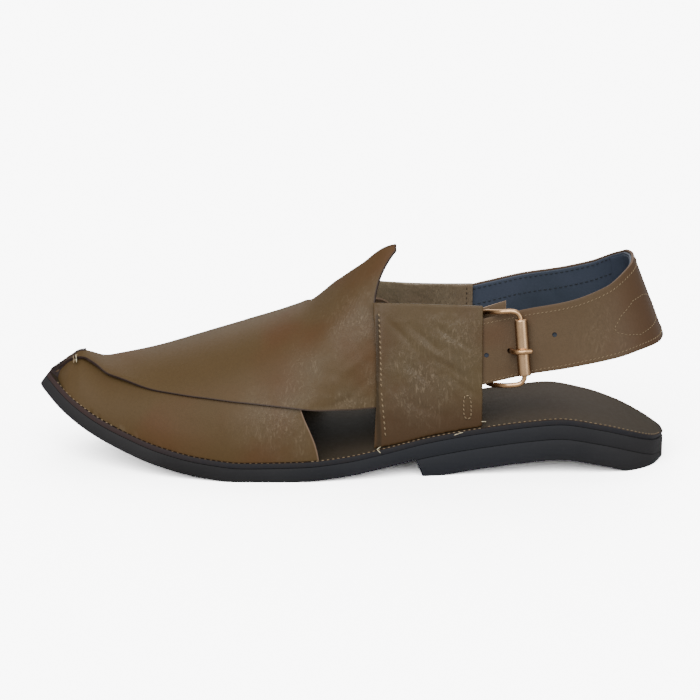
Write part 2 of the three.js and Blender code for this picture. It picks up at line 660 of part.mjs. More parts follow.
function addMesh(group, name, geometry, colour, roughness, metalness) {
  const material = new THREE.MeshStandardMaterial({ color: colour, roughness, metalness, flatShading: true });
  const mesh = new THREE.Mesh(geometry, material);
  mesh.name = name;
  group.add(mesh);
}

const shoe = new THREE.Group();
addMesh(shoe, "insole", makeInsole(), 0x5a4a38, 0.55, 0);
addMesh(shoe, "outsole", makeOutsole(), 0x26262a, 0.7, 0);
addMesh(shoe, "heel_lift", makeHeelLift(), 0x222226, 0.7, 0);
addMesh(shoe, "upper", makeUpper(), 0x6e5638, 0.5, 0);
addMesh(shoe, "quarter_outer", makePanel(-1), 0x6a5236, 0.5, 0);
addMesh(shoe, "quarter_inner", makePanel(1), 0x6a5236, 0.5, 0);
addMesh(shoe, "heel_strap", makeHeelStrap(), 0x705a3c, 0.5, 0);
addMesh(shoe, "buckle_frame", makeBuckleFrame(), 0xb98a63, 0.3, 1);
addMesh(shoe, "buckle_roller", makeRoller(), 0xc09470, 0.28, 1);
addMesh(shoe, "buckle_tongue", makeTongue(), 0xb98a63, 0.3, 1);

// The origin is the middle of the shoe's box, on the floor.
const middle = new THREE.Box3().setFromObject(shoe, true).getCenter(new THREE.Vector3());
shoe.position.set(-middle.x, -middle.y, 0);

export default shoe;
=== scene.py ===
# %% [markdown]
# # A peshawari chappal
# A leather sandal for the left foot: two broad leaves crossed over the toes, a folded panel on each side of
# the waist, and a strap round the heel with a roller buckle. The part's solids come in first, as the fixed
# frame, and the leather, threads and metal are then made around them. Sizes are in millimetres, and MM
# turns them into Blender's metres.

import math

import bpy
import numpy as np
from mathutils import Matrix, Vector


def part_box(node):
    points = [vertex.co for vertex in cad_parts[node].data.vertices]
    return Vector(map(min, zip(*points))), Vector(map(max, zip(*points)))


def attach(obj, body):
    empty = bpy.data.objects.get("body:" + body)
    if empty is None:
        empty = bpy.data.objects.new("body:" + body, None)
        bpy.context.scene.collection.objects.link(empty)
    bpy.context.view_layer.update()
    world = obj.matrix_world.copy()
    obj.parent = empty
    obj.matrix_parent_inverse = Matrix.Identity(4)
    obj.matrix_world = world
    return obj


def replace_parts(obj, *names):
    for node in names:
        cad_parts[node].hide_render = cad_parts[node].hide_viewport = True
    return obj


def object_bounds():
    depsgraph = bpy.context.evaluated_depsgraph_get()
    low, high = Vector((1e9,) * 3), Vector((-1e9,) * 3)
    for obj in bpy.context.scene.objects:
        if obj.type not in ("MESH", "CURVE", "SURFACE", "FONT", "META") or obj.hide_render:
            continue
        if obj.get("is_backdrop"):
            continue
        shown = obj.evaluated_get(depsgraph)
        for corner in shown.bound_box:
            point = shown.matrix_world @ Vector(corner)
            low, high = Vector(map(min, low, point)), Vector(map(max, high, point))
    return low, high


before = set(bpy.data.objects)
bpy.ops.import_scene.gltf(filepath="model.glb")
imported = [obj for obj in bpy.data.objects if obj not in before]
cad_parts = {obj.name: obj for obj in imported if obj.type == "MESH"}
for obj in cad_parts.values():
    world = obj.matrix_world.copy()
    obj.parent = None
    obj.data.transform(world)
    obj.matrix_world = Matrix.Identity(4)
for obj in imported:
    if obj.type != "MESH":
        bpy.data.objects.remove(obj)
solid_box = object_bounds()
MM = 0.001
# The tables start at the last's own middle line. This takes them to the middle of the whole shoe's box.
SHIFT = np.array([-1.0831, -1.3589, 0.0])

# %% [markdown]
# ## The shoe's own sizes
# A shoemaker stretches every piece over the same last, so the leather here is laid over one too. All of it
# is worked out from a few named sizes, and the tables that follow hold only shares of them, so a size can
# change without a new drawing.

# %% Sizes
sole_length, sole_centre = 287.6, 3.3
ball_width, heel_width = 97.0, 66.0
insole_thickness, outsole_thickness, lift_thickness = 2.2, 6.8, 10.1
seat_arch, toe_spring, tread_flat = 6.8, 30.8, 0.3
leather, leaf_fuse, clearance = 1.7, 0.3, 0.3
instep_height, rim_margin = 94.0, 1.0
nose_length, nose_setback = 6.0, 5.0
notch_setback, notch_cover, notch_length, notch_height = 28.7, 1.2, 30.0, 34.5
panel_place, panel_length, inner_panel_length = 0.5322, 47.4, 45.6
panel_height, panel_margin = 63.5, 1.2
panel_outer_wall, panel_inner_wall = 1.4, 1.0
strap_thickness, strap_width, strap_height, strap_rise = 2.4, 31.0, 33.8, 21.8
strap_setback, strap_side, strap_centre, tail_length, inner_raise = 10.5, 30.6, -2.0, 29.0, 5.5
frame_length, wire_radius, mouth_relief = 19.0, 1.1, 2.2
frame_drop, frame_lean, tongue_drop = 0.2, 5.4, 1.5
print("sole", sole_length, "by", ball_width, "mm, heel strap", strap_width, "mm wide")

# %% [markdown]
# ## The sole's outline
# Each row is one place along the sole, from the toe (0) to the heel (1). It names the width that the row
# counts in, gives the outer and the inner half as shares of half that width, and says how far the curl of
# the toe and the climb to the heel have come.

# %% The sole's table
# along, width, outer, inner, spring, rise
sole_rows = np.array([
    (0, ball_width, 0.01, 0.07, 1, 0),
    (0.011, ball_width, 0.142, 0.196, 0.92, 0),
    (0.048, ball_width, 0.38, 0.402, 0.69, 0),
    (0.088, ball_width, 0.54, 0.588, 0.495, 0),
    (0.134, ball_width, 0.674, 0.763, 0.329, 0),
    (0.19, ball_width, 0.812, 0.907, 0.169, 0),
    (0.257, ball_width, 0.915, 1.01, 0.049, 0),
    (0.322, ball_width, 0.969, 1.03, 0, 0),
    (0.414, ball_width, 0.973, 0.938, 0, 0.035),
    (0.484, ball_width, 0.928, 0.804, 0, 0.14),
    (0.538, ball_width, 0.874, 0.711, 0, 0.302),
    (0.616, heel_width, 1.136, 0.94, 0, 0.552),
    (0.696, heel_width, 1.085, 0.91, 0, 0.767),
    (0.772, heel_width, 1.076, 0.924, 0, 0.936),
    (0.82, heel_width, 1.076, 0.94, 0, 1),
    (0.884, heel_width, 1.03, 0.91, 0, 0.826),
    (0.934, heel_width, 0.903, 0.803, 0, 0.581),
    (0.971, heel_width, 0.667, 0.59, 0, 0.343),
    (0.993, heel_width, 0.303, 0.303, 0, 0.2),
    (1, heel_width, 0.06, 0.12, 0, 0.157),
])
print(len(sole_rows), "places along the sole")

# %% [markdown]
# ## The last's sections
# The last is the wooden foot that the leather is pulled over. A row gives its height, how far its ridge lies
# to one side, how much its section is a tent and not an arch, and how far it draws in to leave room for the
# panels.

# %% The last's table
# along, height, side, tent, inset
last_rows = np.array([
    (0.008, 0.035, 0.04, 0.7, 0),
    (0.024, 0.076, 0.03, 0.7, 0),
    (0.044, 0.152, 0.02, 0.65, 0),
    (0.057, 0.187, 0.02, 0.6, 0),
    (0.086, 0.208, 0.02, 0.45, 0),
    (0.123, 0.265, 0.03, 0.3, 0),
    (0.181, 0.353, 0.06, 0.14, 0),
    (0.249, 0.452, 0.08, 0.05, 0),
    (0.315, 0.53, 0.08, 0, 0),
    (0.388, 0.6, 0.06, 0, 0),
    (0.429, 0.648, 0.04, 0, 0.05),
    (0.474, 0.755, 0.02, 0, 0.5),
    (0.516, 0.87, 0, 0, 0.95),
    (0.557, 0.965, 0, 0, 1),
    (0.6, 0.99, 0, 0, 1),
    (0.85, 0.93, 0, 0, 1),
])
print(len(last_rows), "sections of the last")

# %% [markdown]
# ## The edges of the leaves
# A row is one place across a leaf, from the rim that it starts at (0) to its far end (1). Front and rear are
# places along the sole, and a girth is a share of the way round the last.

# %% The leaves' table
# across, front, girth of the front edge, rear, girth of the rear edge on top, and of the one below
leaf_rows = np.array([
    (0, 0.002, 1.05, 0.442, 1.05, 1.05),
    (0.04, 0.003, 0.8, 0.434, 0.97, 0.97),
    (0.09, 0.006, 0.5, 0.414, 0.88, 0.88),
    (0.15, 0.03, 0.46, 0.401, 0.79, 0.79),
    (0.22, 0.06, 0.4, 0.399, 0.7, 0.7),
    (0.3, 0.084, 0.352, 0.407, 0.61, 0.61),
    (0.38, 0.107, 0.3, 0.423, 0.54, 0.53),
    (0.46, 0.135, 0.265, 0.437, 0.49, 0.455),
    (0.55, 0.168, 0.235, 0.455, 0.482, 0.39),
    (0.64, 0.226, 0.205, 0.475, 0.468, 0.335),
    (0.73, 0.299, 0.175, 0.495, 0.443, 0.29),
    (0.82, 0.414, 0.126, 0.518, 0.416, 0.25),
    (0.91, 0.507, 0.08, 0.542, 0.403, 0.22),
    (1, 0.558, 0.06, 0.565, 0.391, 0.185),
])
print(len(leaf_rows), "places across a leaf")

# %% [markdown]
# ## The strap's course and a curve through a table
# Seen from above, the strap runs from the middle of the heel (0) to a panel (1), and its other side is the
# mirror image. A smooth curve is laid through each column of a table. It never overshoots the rows, so no
# bulge appears between two of them.

# %% The strap's table and the curve
# reach, back, side, rise, width, lean
strap_rows = np.array([
    (0, 1, 0, 1, 1.3, 22),
    (0.14, 0.975, 0.42, 0.972, 1.27, 21),
    (0.28, 0.885, 0.75, 0.872, 1.18, 18),
    (0.42, 0.74, 0.95, 0.67, 1.07, 14),
    (0.58, 0.53, 1.01, 0.459, 0.98, 10),
    (0.76, 0.29, 1, 0.275, 0.955, 9),
    (0.9, 0.12, 0.975, 0.11, 0.95, 9),
    (1, 0, 0.95, 0, 0.95, 9),
])
mirrored = strap_rows[:0:-1] * np.array([-1, 1, -1, 1, 1, 1])
strap_rows = np.vstack([mirrored, strap_rows])


def curve(xs, ys, at):
    """A smooth curve through a table's column that never overshoots its rows."""
    steps = np.diff(ys) / np.diff(xs)
    before, after = steps[:-1], steps[1:]
    both = before * after
    inner = np.where(both > 0, 2 * both / np.where(both > 0, before + after, 1), 0)
    slopes = np.concatenate([steps[:1], inner, steps[-1:]])
    x = np.clip(at, xs[0], xs[-1])
    i = np.clip(np.searchsorted(xs, x, side="left") - 1, 0, len(xs) - 2)
    gap = xs[i + 1] - xs[i]
    t = (x - xs[i]) / gap
    ends = (1 + 2 * t) * (1 - t) ** 2 * ys[i] + t * t * (3 - 2 * t) * ys[i + 1]
    return ends + gap * (t * (1 - t) ** 2 * slopes[i] + t * t * (t - 1) * slopes[i + 1])


print(len(strap_rows), "places round the heel")

# %% [markdown]
# ## The sole's deck
# The deck is the top of the insole: it curls up at the toe, lies flat under the ball and climbs to the heel
# seat. It is a function of the place along the sole, so that every later piece can ask for its height.

# %% The deck as functions
total_sole = insole_thickness + outsole_thickness
toe_x = sole_centre - sole_length / 2
heel_x = toe_x + sole_length
panel_front = toe_x + panel_place * sole_length
panel_mouth = panel_front + panel_length
inner_mouth = panel_front + inner_panel_length
panel_stack = panel_inner_wall + strap_thickness + panel_outer_wall + 2 * clearance
nose_start = nose_setback / sole_length


def mix(a, b, share):
    return a + (b - a) * share


def ease(low, high, value):
    t = np.clip((value - low) / (high - low), 0, 1)
    return t * t * (3 - 2 * t)


def along_of(x):
    return (x - toe_x) / sole_length


def x_of(along):
    return toe_x + along * sole_length


def round_of(along):
    return np.arccos(1 - 2 * np.clip(along, 0, 1)) / math.pi


def sole_rim(along, side):
    """The sole's half width on the outer (-1) or the inner (1) side."""
    column = 2 if side < 0 else 3
    widths = sole_rows[:, column] * sole_rows[:, 1] / 2
    return curve(round_of(sole_rows[:, 0]), widths, round_of(along))


def deck_height(along):
    spring = curve(sole_rows[:, 0], sole_rows[:, 4] * toe_spring, along)
    climb = lift_thickness + seat_arch + tread_flat
    rise = curve(sole_rows[:, 0], sole_rows[:, 5] * climb, along)
    return total_sole - tread_flat + spring + rise


deck_places = [round(float(deck_height(np.array(along))), 1) for along in (0, 0.3, 1)]
print("deck at the toe, the ball and the heel", deck_places, "mm")

# %% [markdown]
# ## The last
# The last stands on the deck. A place on it is named by its share along the sole and by its turn, from the
# outer rim (0) over the ridge (0.5) to the inner rim (1), and leather lies at a distance straight out of it.

# %% The last as functions
least_foot = 0.4
# Leather that reaches under the rim goes straight down, by this much per whole climb.
below_rim = 40


def nose(along):
    share = np.clip((along - nose_start) * sole_length / nose_length, 0.001, 1)
    return np.sqrt(1 - (1 - share) ** 2)


def foot_of_last(along, side):
    """Where the last meets the deck, inside the rim by the leather that stands there."""
    leaves = leather if side < 0 else 2 * leather - leaf_fuse
    inset = curve(last_rows[:, 0], last_rows[:, 4], along)
    stack = rim_margin + mix(leaves, panel_margin + panel_stack, inset)
    return side * np.maximum(least_foot, sole_rim(along, side) - stack)


def last_skin(along, turn):
    tent = curve(last_rows[:, 0], last_rows[:, 3], along)
    ridge = curve(last_rows[:, 0], last_rows[:, 2] * ball_width / 2, along)
    height = curve(last_rows[:, 0], last_rows[:, 1] * instep_height, along)
    climb = np.where(turn < 0.5, turn * 2, 2 - turn * 2)
    reach = mix(np.cos(climb * math.pi / 2), 1 - climb, tent) * nose(along)
    lift = mix(np.sin(climb * math.pi / 2), climb, tent) * nose(along)
    rim = np.where(turn < 0.5, foot_of_last(along, -1), foot_of_last(along, 1))
    sink = np.minimum(0, climb) * below_rim
    level = deck_height(along) + clearance + height * lift + sink
    return np.stack([x_of(along), mix(ridge, rim, reach), level], -1)


def on_last(along, turn, distance):
    """A place on leather that lies at a distance outside the last, with the direction out of it."""
    along, turn = np.broadcast_arrays(np.asarray(along, float), np.asarray(turn, float))
    step = 0.003
    short = np.minimum(step, np.abs(along - nose_start) / 2 + step / 10)
    lengthwise = last_skin(along + short, turn) - last_skin(along - short, turn)
    crosswise = last_skin(along, turn + step) - last_skin(along, turn - step)
    out = np.cross(lengthwise, crosswise)
    out /= np.linalg.norm(out, axis=-1, keepdims=True) + 1e-12
    return last_skin(along, turn) + out * np.asarray(distance)[..., None], out


def on_wall(x, height, distance, side):
    """A place outside the last at a place along the floor and a height."""
    along = along_of(x)
    full = curve(last_rows[:, 0], last_rows[:, 1] * instep_height, along)
    share = np.clip((height - deck_height(along) - clearance) / full, -0.02, 1)
    climb = np.arcsin(share) / (math.pi / 2)
    return on_last(along, climb / 2 if side < 0 else 1 - climb / 2, distance)


peak_along = 0.557
peak_share = float(curve(last_rows[:, 0], last_rows[:, 1], peak_along))
print("last height at the peak", round(instep_height * peak_share, 1), "mm, deck there",
      round(float(deck_height(np.array(peak_along))), 1), "mm")

# %% [markdown]
# ## The strap's course
# The strap leaves each panel's pocket, runs back and up, and turns round the heel leaning inwards. Near a
# panel it settles against the wall. A Bezier curve with a profile would do for the leather, but a function
# also tells each stitch and hole where the leather is.

# %% The strap as a function
def strap_at(reach):
    column = {name: curve(strap_rows[:, 0], strap_rows[:, i], reach)
              for i, name in enumerate(("reach", "back", "side", "rise", "width", "lean"))}
    tail = np.maximum(0, np.abs(reach) - 1)
    mouth = np.where(reach < 0, panel_mouth, inner_mouth)
    level = float(deck_height(np.array(along_of(panel_mouth)))) + strap_height
    raised = np.where(reach > 0, inner_raise * ease(0.2, 1, reach), 0)
    return (mix(mouth, heel_x - strap_setback, column["back"]) - tail * tail_length,
            strap_centre + column["side"] * strap_side,
            level + column["rise"] * strap_rise + raised,
            column["width"] * strap_width,
            np.radians(column["lean"]))


def on_strap(reach, up, distance):
    """reach runs round the heel from the outer tail (-2) to the inner tail (2), up from the lower edge (0)."""
    reach, up = np.broadcast_arrays(np.asarray(reach, float), np.asarray(up, float))
    x, y, height, width, lean = strap_at(reach)
    ahead, behind = strap_at(reach + 0.01), strap_at(reach - 0.01)
    out_x, out_y = ahead[1] - behind[1], behind[0] - ahead[0]
    size = np.hypot(out_x, out_y)
    rise = (up - 0.5) * width
    flat = distance * np.cos(lean) - rise * np.sin(lean)
    free = np.stack([x + out_x / size * flat, y + out_y / size * flat,
                     height + distance * np.sin(lean) + rise * np.cos(lean)], -1)
    settled = ease(0.6, 1, np.abs(reach))[..., None]
    middle = panel_inner_wall + clearance + strap_thickness / 2
    outer, _ = on_wall(x, height + rise, middle + distance, -1)
    inner, _ = on_wall(x, height + rise, middle + distance, 1)
    wall = np.where((reach < 0)[..., None], outer, inner)
    return mix(free, wall, settled)


# %% [markdown]
# ## The buckle's own axes
# The buckle lies on the strap's outer side, and its holes and the tongue's slot follow its directions: back
# along the strap, up along the leather, and out of it. Its place is known only by its distance along the
# floor, so halving finds where the strap passes there.

# %% The buckle's axes as functions
def halved(low, high, short, rounds):
    """Closes in on the place between low and high up to which short(place) holds."""
    for _ in range(rounds):
        middle = (low + high) / 2
        still = short(middle)
        low, high = np.where(still, middle, low), np.where(still, high, middle)
    return low, high


def outer_reach_at(x):
    near, _ = halved(0.0, 2.0, lambda reach: strap_at(-reach)[0] > x, 40)
    return -near


def outer_axes(x, drop, lean):
    reach = outer_reach_at(x)
    step = 0.02
    back = Vector(on_strap(reach + step, 0.5, 0) - on_strap(reach - step, 0.5, 0)).normalized()
    across = Vector(on_strap(reach, 0.9, 0) - on_strap(reach, 0.1, 0)).normalized()
    out = back.cross(across).normalized()
    up = Vector((-math.sin(lean), 0, math.cos(lean)))
    up = (up - out * up.dot(out)).normalized()
    origin = Vector(on_strap(reach, 0.5, 0)) - up * drop
    return origin, up.cross(out), up, out


frame_x = panel_mouth - mouth_relief + clearance + wire_radius + frame_length / 2
buckle_axes = outer_axes(frame_x, frame_drop, math.radians(frame_lean))
print("buckle stands at", [round(c, 1) for c in buckle_axes[0]])

# %% [markdown]
# ## Picking and changing a piece
# An operator acts on all that is selected, so a piece is picked alone before one runs. Corners are read and
# written as one table of numbers, which is quicker than one at a time, and a corner can also keep a number
# of its own for a material to read.

# %% Helpers for pieces
def clear_selection():
    if bpy.context.mode != "OBJECT":
        bpy.ops.object.mode_set(mode="OBJECT")
    bpy.ops.object.select_all(action="DESELECT")


def pick(piece):
    clear_selection()
    piece.select_set(True)
    bpy.context.view_layer.objects.active = piece


def modify(piece, name, kind, **settings):
    modifier = piece.modifiers.new(name, kind)
    for key, value in settings.items():
        setattr(modifier, key, value)


def soft_edge(piece, width, degrees):
    """A narrow two-step bevel along edges that are sharper than an angle."""
    modify(piece, "soft edge", "BEVEL", width=width * MM, segments=2, limit_method="ANGLE",
           angle_limit=math.radians(degrees))


def apply_modifiers(piece):
    pick(piece)
    for modifier in list(piece.modifiers):
        bpy.ops.object.modifier_apply(modifier=modifier.name)


def smooth(piece, degrees=35):
    pick(piece)
    bpy.ops.object.shade_smooth_by_angle(angle=math.radians(degrees))


def corner_table(piece, what="co"):
    """The places (co) or the outward directions (normal) of a piece's corners, one row each."""
    flat = np.empty(len(piece.data.vertices) * 3)
    piece.data.vertices.foreach_get(what, flat)
    return flat.reshape(-1, 3)


def set_corners(piece, points):
    piece.data.vertices.foreach_set("co", np.asarray(points, float).ravel())
    piece.data.update()


def to_frame(points):
    """From the tables' millimetres to the frame's metres."""
    return (np.asarray(points) + SHIFT) * MM


def keep_value(piece, name, values):
    """Writes one number per corner, such as the distance to an edge, for a material to read."""
    layer = piece.data.attributes.new(name, "FLOAT", "POINT")
    layer.data.foreach_set("value", np.asarray(values, float))


# %% [markdown]
# ## Making a sheet of leather
# Flat leather is cut first and then pulled over the last, so each sheet starts here as a plain grid, and its
# corners are wrapped onto their places. A Solidify modifier then gives the leather its thickness inwards,
# with one material for the face, one for the flesh side and one for the cut edge, and a Bevel takes the
# sharpness off that edge.

# %% Helpers for sheets
def flat_grid(name, columns, rows):
    clear_selection()
    bpy.ops.mesh.primitive_grid_add(x_subdivisions=columns, y_subdivisions=rows, size=2)
    grid = bpy.context.object
    grid.name = name
    return grid


def wrapped_sheet(name, columns, rows, place, values=None):
    """A grid primitive whose corners are moved to place(u, v), with u and v from 0 to 1."""
    piece = flat_grid(name, columns, rows)
    flat = corner_table(piece)
    u, v = (flat[:, 0] + 1) / 2, (flat[:, 1] + 1) / 2
    set_corners(piece, to_frame(place(u, v)))
    for key, function in (values or {}).items():
        keep_value(piece, key, function(u, v))
    return piece


def thicken(piece, thickness, bevel, face, flesh, edge):
    for material in (face, flesh, edge):
        piece.data.materials.append(material)
    modify(piece, "wall", "SOLIDIFY", thickness=thickness * MM, offset=-1, material_offset=1,
           material_offset_rim=2)
    soft_edge(piece, bevel, 50)
    apply_modifiers(piece)
    smooth(piece)


# %% [markdown]
# ## Shader maths in plain expressions
# A finish is mostly arithmetic on masks. The class below wraps a socket, so that `grain * 0.3 + 0.1` adds
# the Math nodes by itself, and `band` turns a range of a pattern into a soft mask.

# %% A value on the surface
class Value:
    """A number that varies over the surface. Operators on it add Math nodes."""

    def __init__(self, paint, socket):
        self.paint, self.socket = paint, socket

    def _with(self, operation, other, swapped=False):
        first, second = (other, self) if swapped else (self, other)
        return self.paint.node("ShaderNodeMath", {0: first, 1: second}, operation=operation)

    def __add__(self, other):
        return self._with("ADD", other)

    __radd__ = __add__

    def __mul__(self, other):
        return self._with("MULTIPLY", other)

    __rmul__ = __mul__

    def __sub__(self, other):
        return self._with("SUBTRACT", other)

    def __rsub__(self, other):
        return self._with("SUBTRACT", other, swapped=True)

    def power(self, exponent):
        return self._with("POWER", exponent)

    def most(self, other):
        return self._with("MAXIMUM", other)

    def band(self, low, high, result_low=0.0, result_high=1.0):
        """Maps low..high smoothly to result_low..result_high."""
        inputs = {"Value": self, "From Min": low, "From Max": high, "To Min": result_low, "To Max": result_high}
        return self.paint.node("ShaderNodeMapRange", inputs, interpolation_type="SMOOTHSTEP")


# %% [markdown]
# ## One material and its nodes
# A Principled shader stands for every finish here. One method adds any node by its type, and short methods
# add the patterns that leather, rubber and metal need: clouds of noise, pores as cells, and soft spots round
# a place. All of them read the place on the object, so that a pattern lies still on the shoe.

# %% A material
class Paint:
    """One material, and the short ways to add nodes to it."""

    def __init__(self, name, **constants):
        self.material = bpy.data.materials.new(name)
        self.material.use_nodes = True
        self.nodes = self.material.node_tree.nodes
        self.links = self.material.node_tree.links
        self.shader = self.nodes["Principled BSDF"]
        for key, value in constants.items():
            self.shader.inputs[key.replace("_", " ")].default_value = value
        self.place = self.node("ShaderNodeTexCoord", {}, output="Object")

    def node(self, kind, inputs, output=0, **settings):
        made = self.nodes.new(kind)
        for key, value in settings.items():
            setattr(made, key, value)
        for key, value in inputs.items():
            socket = made.inputs[key]
            if isinstance(value, Value):
                self.links.new(value.socket, socket)
            else:
                socket.default_value = value
        return Value(self, made.outputs[output])

    def stretched(self, scale, turn=(0, 0, 0), move=(0, 0, 0)):
        return self.node("ShaderNodeMapping",
                         {"Vector": self.place, "Scale": scale, "Rotation": turn, "Location": move})

    def noise(self, per_mm, detail=3.0, rough=0.5, warp=0.0, at=None):
        return self.node("ShaderNodeTexNoise", {"Vector": at or self.place, "Scale": per_mm * 1000,
                                                "Detail": detail, "Roughness": rough, "Distortion": warp})

    def cells(self, per_mm):
        return self.node("ShaderNodeTexVoronoi", {"Vector": self.place, "Scale": per_mm * 1000}, feature="F1")

    def blend(self, share, first, second):
        """Mixes two colours. A colour is a Value or three numbers."""
        made = self.nodes.new("ShaderNodeMix")
        made.data_type = "RGBA"
        share_socket, first_socket, second_socket = made.inputs[0], made.inputs[6], made.inputs[7]
        for socket, value in ((share_socket, share), (first_socket, first), (second_socket, second)):
            if isinstance(value, Value):
                self.links.new(value.socket, socket)
            else:
                socket.default_value = value if isinstance(value, (int, float)) else (*value, 1)
        return Value(self, made.outputs[2])

    def near(self, centre, radius):
        """1 at a place on the shoe, in millimetres of its frame, fading to 0 at the radius."""
        gap = self.node("ShaderNodeVectorMath", {0: self.place, 1: tuple(c * MM for c in centre)},
                        output="Value", operation="DISTANCE")
        return gap.band(0, radius * MM, 1, 0)

    def axis(self, letter):
        return self.node("ShaderNodeSeparateXYZ", {"Vector": self.place}, output=letter)

    def attribute(self, name):
        return self.node("ShaderNodeAttribute", {}, output="Fac", attribute_name=name)

    def relief(self, height, strength, depth):
        bump = self.node("ShaderNodeBump", {"Height": height, "Strength": strength, "Distance": depth * MM})
        self.links.new(bump.socket, self.shader.inputs["Normal"])

    def feed(self, name, value):
        self.links.new(value.socket, self.shader.inputs[name])


# %% [markdown]
# ## Colours as they look
# The tone curve of a picture flattens towards white, so a colour picked from one can't be used as a
# material's colour as it is. The two rows below are points of that curve, and reading them backwards turns
# a colour that is wanted in the picture into the share of light that the material throws back.

# %% Colours as they look
film_tones = [0, 19, 32, 51, 77, 107, 146, 177, 197, 217]
film_light = [0, 0.01, 0.02, 0.04, 0.08, 0.15, 0.3, 0.6, 1, 2]


def seen(red, green, blue):
    """A colour as it looks in the picture, 0 to 255, turned into the share of light that it throws back."""
    return tuple(float(np.interp(c, film_tones, film_light)) for c in (red, green, blue))


def darker(colour, share):
    return tuple(c * share for c in colour)


print("a mid grey is painted", round(seen(128, 128, 128)[0], 3))

# %% [markdown]
# ## The hides
# The upper is an oiled full-grain cowhide: olive brown where it is stretched and redder where it lies slack,
# with a fine grain. Where the foot bends it, many short wrinkles catch the light, and there its colour gets a
# painted sheen, a lighter grey, with painted glints on the wrinkles and painted shade between them. A
# photograph of leather would repeat and show its edges, so all of this is noise on the object's own places:
# slow clouds for the tone, fine strokes for the wrinkles and their painted glints, and small cells for the
# pores.

# %% A hide
painted_sheen, painted_glint = seen(106, 93, 75), seen(150, 136, 114)


def hide(name, light, deep, red, sheen_and_crease_places, lay=(0, 0.25, 0), rough=0.5, creases_and_sheen=1.0, shade=None, edge=None,
         shine=0.3, seam=False, toe_dye=False):
    """The first list after the tones gives the places of creases and painted sheen as (centre, radius) in
    millimetres, and lay turns the creases' direction. shade is (axis, low, high) in metres, over which a painted
    shade turns the hide darker and redder, and edge is the colour of a band along a cut; on the leaf on top that
    dark band is its edge dye and also a painted shadow under its lifted free edge. seam paints shade into the
    groove of a sewn fold, and toe_dye darkens the outer side of the toe."""
    paint = Paint(name, IOR=1.45, Coat_Weight=0.03, Coat_Roughness=0.3, Specular_IOR_Level=shine)
    cloud = paint.noise(0.012, 3, 0.55, 0.4)
    broad = paint.noise(0.022, 2, 0.5, at=paint.stretched((1, 1, 1), move=(0.3, 0.1, 0.2)))
    fine = paint.noise(0.7, 3, 0.6)
    patchy = paint.noise(0.05, 3, 0.6)
    pores = paint.cells(1.3)

    # Wrinkles: fine noise, stretched along the creases' direction and made to wind a little.
    bent = paint.stretched((1, 1, 0.36), lay)
    warp = paint.noise(0.12, 2, 0.5, at=bent)
    winding = paint.node("ShaderNodeVectorMath", {0: bent, 1: warp * 0.006}, operation="ADD")
    strokes = paint.noise(1.0, 2, 0.6, 0.6, at=winding)
    # bright picks the painted glints on the wrinkles, and dark picks the painted shade between them.
    bright = strokes.band(0.54, 0.66) * patchy.band(0.42, 0.6, 0.3, 1)
    dark = strokes.band(0.36, 0.47, 1, 0)
    ripple = paint.noise(0.13, 2, 0.5, 0.3, at=winding)
    # Where the creases lie: this mask drives the relief and the gloss, and also the painted sheen, glints and
    # shade.
    sheen_and_crease_mask = paint.near(*sheen_and_crease_places[0])
    for place in sheen_and_crease_places[1:]:
        sheen_and_crease_mask = sheen_and_crease_mask.most(paint.near(*place))
    sheen_and_crease_mask = (sheen_and_crease_mask * patchy.band(0.35, 0.6, 0.2, 1.0)).power(0.8)

    # Colour, from the whole hide's tone to the small marks and the cut edge.
    tone = paint.blend(cloud.band(0.36, 0.62), deep, light)
    tone = paint.blend(broad.band(0.46, 0.66) * 0.85, tone, red)
    # Painted shade: the hide turns darker and redder along one axis.
    if shade:
        tone = paint.blend(paint.axis(shade[0]).band(shade[1], shade[2]), tone, darker(red, 0.85))
    # Painted sheen as a lighter grey, painted shade between the wrinkles, and painted glints on them.
    tone = paint.blend(sheen_and_crease_mask * min(0.5, creases_and_sheen * 0.4), tone, painted_sheen)
    tone = paint.blend(sheen_and_crease_mask * dark * 0.22, tone, darker(deep, 0.6))
    tone = paint.blend(sheen_and_crease_mask * bright * min(0.36, 0.24 * creases_and_sheen), tone, painted_glint)
    tone = paint.blend(fine.band(0.35, 0.75) * 0.15, tone, darker(deep, 0.6))
    # Painted shade in the groove beside the front seam.
    if seam:
        groove = paint.attribute("seam_mm").band(0.3, 1.5, 0.7, 0)
        tone = paint.blend(groove, tone, darker(deep, 0.35))
    if toe_dye:
        outer_toe = paint.axis("X").band(-0.130, -0.1275, 1, 0) * paint.axis("Y").band(-0.001, 0.002, 1, 0)
        tone = paint.blend(outer_toe * 0.85, tone, edge)
    # A band along the cut in the edge's colour; on the leaf on top it is edge dye and also a painted shadow
    # under its lifted edge.
    if edge:
        tone = paint.blend(paint.attribute("edge_mm").band(0.3, 0.9, 0.9, 0), tone, edge)
    paint.feed("Base Color", tone)

    # Gloss, and the relief that catches the light.
    paint.feed("Roughness", cloud * 0.06 + fine * 0.08 + (rough - 0.06) - sheen_and_crease_mask * 0.2)
    height = pores * 0.07 + fine * 0.1 + sheen_and_crease_mask * (ripple * 1.1 + strokes * 0.75) * creases_and_sheen
    paint.relief(height, 1.0, 0.3)
    return paint.material


# %% [markdown]
# ## One hide for each place
# The leaves, the panels and the strap are cut from the same skin but worn differently, and some of their tones
# are painted light and shade. The leaves are smooth with few wrinkles; the outer panel has many creases, and a
# painted shade turns it darker and redder at its foot; the inner panel's inside is painted lighter, as painted
# light; and a painted shade darkens the strap towards the heel. Each gets its own tones and its own places of
# creases and painted sheen.

# %% The shoe's hides
leaf_tones = seen(91, 71, 42), seen(85, 64, 35), seen(88, 58, 31)
leaf_sheen_and_creases = [((0, -44, 42), 44), ((-30, -46, 26), 30), ((6, -36, 68), 36)]
